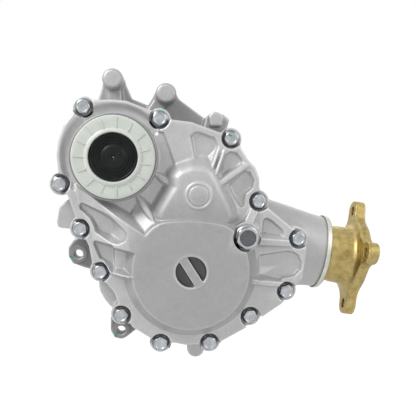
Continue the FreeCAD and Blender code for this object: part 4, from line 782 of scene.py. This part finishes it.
def flange_casting():
    low, high = (194, -96, -178), (282, 32, -40)
    flange = Casting(low, high, FLANGE_VOXEL)
    ears = [polar(EAR_CIRCLE_R, FLANGE_CLOCK + 90 * k) for k in range(4)]

    def solid(x, y, z):
        station, up, across = along_output(x, y, z)
        r = np.hypot(up, across)
        angle = np.arctan2(up, -across)
        neck = np.maximum(r - 31, np.maximum(148.2 - station, station - 188))
        flare_r = np.interp(station, (160, 168, 173, 176, 178.5, 180.5),
                            (30.5, 31.2, 32.8, 35, 38.6, 42))
        flare = np.maximum(r - flare_r, np.maximum(160 - station, station - 186)) * 0.8
        plate = r - 40.5
        for ex, ez in ears:
            ear = np.hypot(-across - ex, up - ez) - EAR_R
            t = np.clip((-across * ex + up * ez) / EAR_CIRCLE_R ** 2, 0.3, 1)
            arm = np.hypot(-across - t * ex, up - t * ez) - (EAR_R + 9 * (1 - t))
            plate = soft_min(plate, soft_min(ear, arm, 2), 9)
        disc = rounded_edge(plate, np.abs(station - 184) - 6, 1.5)
        return soft_min(soft_min(neck, flare, 3), disc, 3)

    flange.mix(low, high, solid, 0)

    def bores(x, y, z):
        station, up, across = along_output(x, y, z)
        r = np.hypot(up, across)
        cut = np.maximum(r - 20, np.maximum(156.8 - station, station - 187))
        cut = np.minimum(cut, np.maximum(r - 23, 186 - station))
        for ex, ez in ears:
            hole = np.hypot(-across - ex, up - ez)
            # Round spot face behind each ear, where a nut seats
            spot = np.maximum(hole - SPOT_FACE_R, np.maximum(174 - station, station - 178.4))
            cut = np.minimum(cut, np.minimum(hole - EAR_HOLE_R, spot))
        return cut

    flange.mix(low, high, bores, 0.6, True)

    casting = flange.mesh("output_flange_forging", FLANGE_FACES)
    hub = [(124, 13.6), (124, 20.6), (124.4, 21), (152, 21), (156.9, 21), (156.9, 13.6)]
    core = lathe("flange_hub", hub, 96, output_place())
    return joined("output_flange_forging", [casting, core], FLANGE_SHARP_ANGLE)


def slinger():
    s = TUBE_END + 0.8
    profile = rounded([(s + 0.4, 21.6), (s, TUBE_R + 0.3), (s - 3.2, TUBE_R + 0.9), (s - 3.4, TUBE_R + 2.1),
                       (s + 1.2, TUBE_R + 1.2), (s + 3.2, TUBE_R - 1.2), (s + 3.2, 31.6), (s + 2.4, 21.6)], 0.5, 3)
    return lathe("dust_slinger_ring", profile, 144, output_place())


# A node tree whose inputs each take a value or a link
class Tree:
    def __init__(self, tree):
        self.nodes, self.links = tree.nodes, tree.links

    def join(self, source, node, socket):
        if isinstance(source, bpy.types.NodeSocket):
            self.links.new(source, node.inputs[socket])
        else:
            node.inputs[socket].default_value = source

    def add(self, kind, inputs=None, **values):
        node = self.nodes.new(kind)
        for key, value in values.items():
            setattr(node, key, value)
        for socket, source in (inputs or {}).items():
            self.join(source, node, socket)
        return node


# Materials
class Finish(Tree):
    def __init__(self, name, **sockets):
        self.material = bpy.data.materials.new(name)
        self.material.use_nodes = True
        super().__init__(self.material.node_tree)
        self.shader = self.nodes["Principled BSDF"]
        self.place = self.add("ShaderNodeTexCoord").outputs["Object"]
        for socket, value in sockets.items():
            self.shader.inputs[socket.replace("_", " ")].default_value = value

    def noise(self, size_mm, detail=3, rough=0.55, stretch=None):
        place = self.place
        if stretch:
            place = self.add("ShaderNodeMapping", {"Scale": stretch, "Vector": place}).outputs["Vector"]
        inputs = {"Scale": 1 / (size_mm * MM), "Detail": detail, "Roughness": rough, "Vector": place}
        return self.add("ShaderNodeTexNoise", inputs).outputs["Fac"]

    def spread(self, source, low, high, out_low=0, out_high=1):
        inputs = {"From Min": low, "From Max": high, "To Min": out_low, "To Max": out_high, "Value": source}
        return self.add("ShaderNodeMapRange", inputs).outputs["Result"]

    def cloud(self, size_mm, detail=4, rough=0.55, out_low=0, out_high=1):
        return self.spread(self.noise(size_mm, detail, rough), 0.3, 0.7, out_low, out_high)

    def sums(self, operation, a, b):
        return self.add("ShaderNodeMath", {0: a, 1: b}, operation=operation).outputs[0]

    def mix(self, factor, a, b):
        inputs = {0: factor}
        for socket, value in ((6, a), (7, b)):
            inputs[socket] = value + (1,) if isinstance(value, tuple) else value
        return self.add("ShaderNodeMix", inputs, data_type="RGBA").outputs[2]

    def edges(self, low=0.5, high=0.62):
        return self.spread(self.add("ShaderNodeNewGeometry").outputs["Pointiness"], low, high)

    def stored(self, name):
        return self.add("ShaderNodeAttribute", attribute_name=name).outputs["Fac"]

    # Paint over a tone, from the stored dabs with a ragged edge; gives its share and the new tone
    def paint(self, tone, size_mm, ragged, metallic):
        edge = self.cloud(size_mm, 2, 0.55, -ragged, ragged)
        paint = self.spread(self.sums("ADD", self.stored("paint"), edge), 0.48, 0.55)
        self.set("Metallic", self.spread(paint, 0, 1, metallic, 0))
        return paint, self.mix(paint, tone, PAINT)

    def set(self, socket, source):
        self.links.new(source, self.shader.inputs[socket])

    def bump(self, layers):
        normal = None
        for source, strength, depth_mm in layers:
            inputs = {"Strength": strength, "Distance": depth_mm * MM, "Height": source}
            if normal:
                inputs["Normal"] = normal
            normal = self.add("ShaderNodeBump", inputs).outputs["Normal"]
        self.set("Normal", normal)


PAINT = (0.006, 0.34, 0.22)
# Colour of the painted shade
PAINTED_SHADE_COLOUR = (0.06, 0.06, 0.064)


def cast_finish(name, dark, light, edge, metallic, roughness):
    f = Finish(name, Metallic=metallic)
    cloud = f.cloud(34, 4, 0.6)
    grain = f.noise(0.9, 3, 0.7)
    fleck = f.noise(3.2, 4, 0.65)
    mottle = f.cloud(7, 4, 0.65)
    tone = f.mix(f.sums("MULTIPLY", f.sums("ADD", cloud, mottle), 0.5), dark, light)
    tone = f.mix(f.spread(grain, 0.35, 0.75, 0, 0.42), tone, edge)
    tone = f.mix(f.spread(fleck, 0.62, 0.78, 0, 0.35), tone, dark)
    # Painted shade from the stored mask: dark lines, recesses and faces turned from the light
    tone = f.mix(f.stored("tint_and_painted_shade"), tone, PAINTED_SHADE_COLOUR)
    tone = f.mix(f.sums("MULTIPLY", f.edges(0.505, 0.56), 0.75), tone, edge)
    rough = f.spread(f.sums("ADD", cloud, grain), 0.4, 1.6, roughness - 0.07, roughness + 0.1)
    paint, tone = f.paint(tone, 1.4, 0.25, metallic)
    rough = f.sums("ADD", f.sums("MULTIPLY", paint, -0.15), rough)
    f.set("Base Color", tone)
    f.set("Roughness", rough)
    f.bump(((fleck, 0.35, 0.25), (grain, 0.6, 0.14), (f.noise(0.35, 2, 0.6), 0.35, 0.05)))
    return f.material


def plated_finish(name, dark, light, roughness, grain_mm=0.6, strength=0.12, painted=False):
    f = Finish(name, Metallic=1)
    cloud = f.cloud(6, 4, 0.6)
    grain = f.noise(grain_mm, 3, 0.6)
    tone = f.mix(cloud, dark, light)
    tone = f.mix(f.spread(grain, 0.55, 0.8, 0, 0.4), tone, dark)
    # Painted shade from the stored mask, on the screws' skirts and the filler plug's recessed face
    tone = f.mix(f.stored("tint_and_painted_shade"), tone, PAINTED_SHADE_COLOUR)
    rough = f.spread(f.sums("ADD", cloud, grain), 0.4, 1.6, roughness - 0.06, roughness + 0.12)
    if painted:
        paint, tone = f.paint(tone, 1.2, 0.2, 1)
    f.set("Base Color", tone)
    f.set("Roughness", rough)
    f.bump(((grain, strength, 0.1), (f.noise(2.5, 2), 0.1, 0.1)))
    return f.material


def steel_finish(name, dark, light, roughness):
    f = Finish(name, Metallic=1)
    marks = f.noise(1.2, 5, 0.7, (1, 14, 1))
    cloud = f.cloud(9, 3)
    f.set("Base Color", f.mix(cloud, dark, light))
    f.set("Roughness", f.spread(marks, 0.3, 0.7, roughness - 0.05, roughness + 0.1))
    f.bump(((marks, 0.15, 0.06),))
    return f.material


def nylon_finish():
    f = Finish("moulded_nylon", Subsurface_Weight=0.25, Subsurface_Scale=0.004)
    f.shader.inputs["Subsurface Radius"].default_value = (1, 0.95, 0.8)
    cloud = f.cloud(14, 3, 0.6)
    warm = f.spread(f.noise(7, 2), 0.55, 0.75, 0, 0.5)
    tone = f.mix(cloud, (0.70, 0.745, 0.67), (0.80, 0.83, 0.79))
    tone = f.mix(warm, tone, (0.70, 0.70, 0.50))
    tone = f.mix(f.edges(0.51, 0.6), tone, (0.84, 0.86, 0.78))
    # The same stored mask gives the guard's rib tops their yellow tint
    f.set("Base Color", f.mix(f.stored("tint_and_painted_shade"), tone, (0.66, 0.62, 0.36)))
    f.set("Roughness", f.cloud(2, 3, 0.55, 0.32, 0.48))
    f.bump(((f.noise(1.1, 2), 0.12, 0.1),))
    return f.material


def plastic_finish(name, dark, light, roughness, size=1):
    f = Finish(name, Specular_IOR_Level=0.15)
    grain = f.noise(size, 3, 0.6)
    f.set("Base Color", f.mix(f.cloud(8, 3), dark, light))
    f.set("Roughness", f.spread(grain, 0.3, 0.7, roughness - 0.06, roughness + 0.08))
    f.bump(((grain, 0.15, 0.08),))
    return f.material


FINISH = {
    "cast_aluminium": cast_finish("cast_aluminium", (0.46, 0.456, 0.458), (0.58, 0.574, 0.576), (0.78, 0.775, 0.77),
                                  0.4, 0.46),
    "bright_zinc": plated_finish("bright_zinc", (0.34, 0.35, 0.37), (0.56, 0.58, 0.60), 0.3, painted=True),
    "gold_zinc": plated_finish("gold_zinc", (0.30, 0.225, 0.075), (0.52, 0.41, 0.18), 0.42, 0.9, 0.45),
    "white_nylon": nylon_finish(),
    "black_plastic": plastic_finish("black_moulding", (0.010, 0.011, 0.011), (0.020, 0.021, 0.021), 0.36),
    "seal_rubber": plastic_finish("seal_rubber", (0.012, 0.012, 0.012), (0.022, 0.022, 0.022), 0.6, 0.5),
    "gasket_grey": plastic_finish("gasket_fibre", (0.16, 0.16, 0.17), (0.22, 0.22, 0.23), 0.7, 0.4),
    "gear_steel": steel_finish("gear_steel", (0.34, 0.33, 0.32), (0.48, 0.47, 0.46), 0.34),
    "bearing_steel": steel_finish("bearing_steel", (0.56, 0.56, 0.57), (0.70, 0.70, 0.71), 0.22),
    "copper_washer": plated_finish("copper_washer", (0.45, 0.20, 0.11), (0.62, 0.30, 0.18), 0.35),
}
# A darker copy of the cast aluminium, as painted shade on the housing behind the cover
CAST_SHADED_REAR = cast_finish("cast_aluminium_shaded_rear", (0.42, 0.417, 0.416), (0.54, 0.536, 0.534), (0.72, 0.715, 0.71),
                        0.4, 0.48)
SLINGER = plated_finish("slinger_steel", (0.50, 0.50, 0.44), (0.66, 0.66, 0.60), 0.45)


# Places of a mesh's points in millimetres
def places(obj):
    points = np.empty(len(obj.data.vertices) * 3)
    obj.data.vertices.foreach_get("co", points)
    return (points.reshape(-1, 3) / MM).T


def store(obj, name, value):
    stored = obj.data.attributes.new(name, "FLOAT", "POINT")
    stored.data.foreach_set("value", np.clip(value, 0, 1).astype(np.float32))


# Paint dabs: 1 at the middle of a dab, 0 at its edge
def dab(obj, marks):
    x, y, z = places(obj)
    value = np.zeros(len(x))
    for middle, along, across, turn in marks:
        turn = math.radians(turn)
        dx, dz = x - middle[0], z - middle[2]
        u = dx * math.cos(turn) + dz * math.sin(turn)
        v = -dx * math.sin(turn) + dz * math.cos(turn)
        w = np.maximum(np.abs(y - middle[1]) - 4, 0)
        value = np.maximum(value, 1 - 0.5 * np.hypot(np.hypot(u / along, v / across), w))
    store(obj, "paint", value)


# Painted shade on the cover: a dark line round the rim of the input boss, the disc, the dome's lower half and the
# slot's floor
def cover_painted_shade(x, y, z):
    from_input = np.hypot(x - INPUT[0], z - INPUT[1])
    from_ring = np.hypot(x - RING[0], z - RING[1])
    rim = 0.9 * smooth_step(from_input, 39.4, 40.2) * smooth_step(-from_input, -43.4, -41.8) * (y < -105)
    disc = 0.3 * smooth_step(-from_ring, -80, -50) * (y < -96)
    dome = 0.3 * smooth_step(-z, 14, 60) * smooth_step(-y, 99, 109) * (x > 36)
    slot = 0.9 * smooth_step(-from_ring, -15.8, -14.8) * smooth_step(y, -111.5, -108.5) * (y < -100)
    return np.maximum.reduce([rim, disc, dome, slot])


# Darkness of the housing: its rear and its ears, where little light falls
def housing_shade(x, y, z):
    value = 0.28 * smooth_step(y, -62, -50) * smooth_step(-x, -150, -90)
    value = np.maximum(value, 0.3 * smooth_step(y, -30, -8) * smooth_step(-x, -130, -70))
    for hole, shape in EARS:
        value = np.maximum(value, 0.72 * smooth_step(-polygon(list(shape))(x, z), -3, 1) * (y > -75))
    for centre in BOSSES:
        face = (np.hypot(x - centre[0], z - centre[1]) < 9) & (y < -29)
        value = np.where(face, 0, value)
    return value


# Painted shade on the seat and skirt of each screw, below its head, in the shadow of its pocket
def screw_painted_shade(x, y, z):
    return 0.6 * smooth_step(y, SEAT_Y - 3.2, SEAT_Y - 2.2)


# Painted shade on the recessed face of the filler plug's head
def filler_painted_shade(x, y, z):
    face = (np.hypot(x - PLUG[0], z - PLUG[1]) < 7.7) & (y > -113.4) & (y < -112.2)
    return 0.82 * face


# Yellow tint of the nylon on the tops of the guard's ribs
def guard_shade(x, y, z):
    return 0.5 * (y < -111.7) * (np.hypot(x, z) > 28.5)


# Screw dabs: number of the screw, angle of the dab about it, distance, length and width in millimetres
SCREW_DABS = (
    (0, 150, 8.2, 2.4, 0.9, 50), (1, 215, 7.6, 1.6, 0.8, 130), (2, 215, 7.4, 1.5, 0.8, 120),
    (3, 230, 7.8, 2, 0.8, 140), (4, 195, 8, 1.4, 0.8, 100), (5, 228, 8.2, 1.8, 0.8, 140),
    (9, 350, 7.8, 2.6, 0.8, 90), (9, 315, 8.6, 2.2, 1.2, 10), (10, 35, 7.8, 3, 0.9, 125),
    (11, 80, 6.4, 2.2, 0.9, 10), (11, 110, 3.2, 2.2, 1.2, 0), (12, 80, 8, 3.4, 1.3, 30),
)


# Piece, node that it stands for, slot, finish, body, paint dabs and rule for its painted shade, which for the guard
# is the tint of its ribs
def build():
    dabs = []
    for number, angle, distance, along, across, turn in SCREW_DABS:
        x, z = polar(distance, angle, BOLTS[number][:2])
        dabs.append(((x, SEAT_Y - 5, z), along, across, turn))
    cast, zinc = FINISH["cast_aluminium"], FINISH["bright_zinc"]
    for make, node, slot, material, body, marks, tint_and_painted_shade in (
            (cover_casting, "front_cover", "cast_aluminium", cast, CASE,
             dabs + [((142.5, -98, -73), 2.2, 0.8, 100)], cover_painted_shade),
            (housing_casting, "main_housing", "cast_aluminium", CAST_SHADED_REAR, CASE,
             [((-49, -74, -101.5), 3.6, 1.6, 5), ((-3.2, -74, -185), 3.4, 1.4, 62)], housing_shade),
            (cover_screws, "cover_bolts", "bright_zinc", zinc, CASE, dabs, screw_painted_shade),
            (filler_plug, "fill_plug", "bright_zinc", zinc, CASE,
             [((PLUG[0] + 12, -106, PLUG[1] + 5.5), 2.4, 0.9, 100)], filler_painted_shade),
            (cap_guard, "guard_ring", "white_nylon", FINISH["white_nylon"], "guard", None, guard_shade),
            (bore_plug, "shaft_plug", "black_plastic", FINISH["black_plastic"], "plug", None, None),
            (flange_casting, "output_flange", "gold_zinc", FINISH["gold_zinc"], "output", None, None),
            (slinger, "dust_slinger", "bright_zinc", SLINGER, "output", None, None)):
        obj = make()
        if marks:
            dab(obj, marks)
        if tint_and_painted_shade:
            store(obj, "tint_and_painted_shade", tint_and_painted_shade(*places(obj)))
        obj.data.materials.clear()
        obj.data.materials.append(material)
        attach(obj, body)
        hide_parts(node)


def finish_nodes():
    slots = {part["node"]: part["material_slot"] for part in frame["record"]["subparts"]}
    for name, node in frame["nodes"].items():
        material = FINISH.get(slots.get(name), FINISH["gear_steel"])
        materials = node.data.materials
        if not len(materials):
            materials.append(material)
        for index in range(len(materials)):
            materials[index] = material


# Camera, light and ground
def look(obj, target):
    obj.rotation_euler = (Vector(target) - obj.location).to_track_quat("-Z", "Y").to_euler()


CAMERA_AT = Vector((55.954, -645, -10.257)) * MM
CAMERA_LOOKS_AT = Vector((91.954, -95, -50.257)) * MM
CAMERA_LENS = 47.823


def camera():
    data = bpy.data.cameras.new("camera")
    data.lens = CAMERA_LENS
    data.sensor_width = 36
    data.clip_start, data.clip_end = 0.01, 50
    obj = new_object("camera", data)
    obj.location = CAMERA_AT
    look(obj, CAMERA_LOOKS_AT)
    bpy.context.scene.camera = obj


def area_light(name, at, size, power):
    data = bpy.data.lights.new(name, "AREA")
    data.shape = "RECTANGLE"
    data.size = data.size_y = size
    data.energy = power
    obj = new_object(name, data)
    obj.location = at
    look(obj, (0.08, -0.06, -0.05))


# One shader for camera, glossy and transmission rays, and another for the rest; each is a kind with its inputs
def split_rays(tree, plain, white, output_kind, white_share=1):
    tree = Tree(tree)
    tree.nodes.clear()
    path = tree.add("ShaderNodeLightPath").outputs
    total = path["Is Camera Ray"]
    for name in ("Is Glossy Ray", "Is Transmission Ray"):
        total = tree.add("ShaderNodeMath", {0: total, 1: path[name]}, operation="MAXIMUM").outputs[0]
    share = tree.add("ShaderNodeMath", {0: total, 1: white_share}, operation="MULTIPLY").outputs[0]
    plain, white = (tree.add(*shader).outputs[0] for shader in (plain, white))
    mixed = tree.add("ShaderNodeMixShader", {0: share, 1: plain, 2: white})
    tree.add(output_kind, {0: mixed.outputs[0]})


def studio():
    scene = bpy.context.scene
    scene.view_settings.view_transform = "Standard"
    world = bpy.data.worlds.new("studio")
    scene.world = world
    world.use_nodes = True
    split_rays(world.node_tree, ("ShaderNodeBackground", {"Color": (0.9, 0.93, 0.96, 1), "Strength": 0.3}),
               ("ShaderNodeBackground", {"Color": (1, 1, 1, 1)}), "ShaderNodeOutputWorld")
    area_light("key", (-0.85, -0.62, 0.95), 0.6, 15)
    area_light("fill", (1.1, -0.6, 0.5), 0.8, 4)
    area_light("back", (0.3, 0.9, 0.6), 0.8, 2)


FLOOR_Z = -0.30
FLOOR_SHADE = 0.2
FLOOR_WHITE = 1.2


def ground():
    data = bpy.data.meshes.new("floor")
    data.from_pydata([(x, y, FLOOR_Z) for x, y in ((-6, -6), (6, -6), (6, 6), (-6, 6))], [], [(0, 1, 2, 3)])
    obj = new_object("floor", data)
    material = bpy.data.materials.new("floor_pale")
    material.use_nodes = True
    split_rays(material.node_tree, ("ShaderNodeBsdfDiffuse", {"Color": (0.86, 0.86, 0.86, 1)}),
               ("ShaderNodeEmission", {"Strength": FLOOR_WHITE}), "ShaderNodeOutputMaterial", 1 - FLOOR_SHADE)
    data.materials.append(material)


finish_nodes()
build()
camera()
studio()
ground()
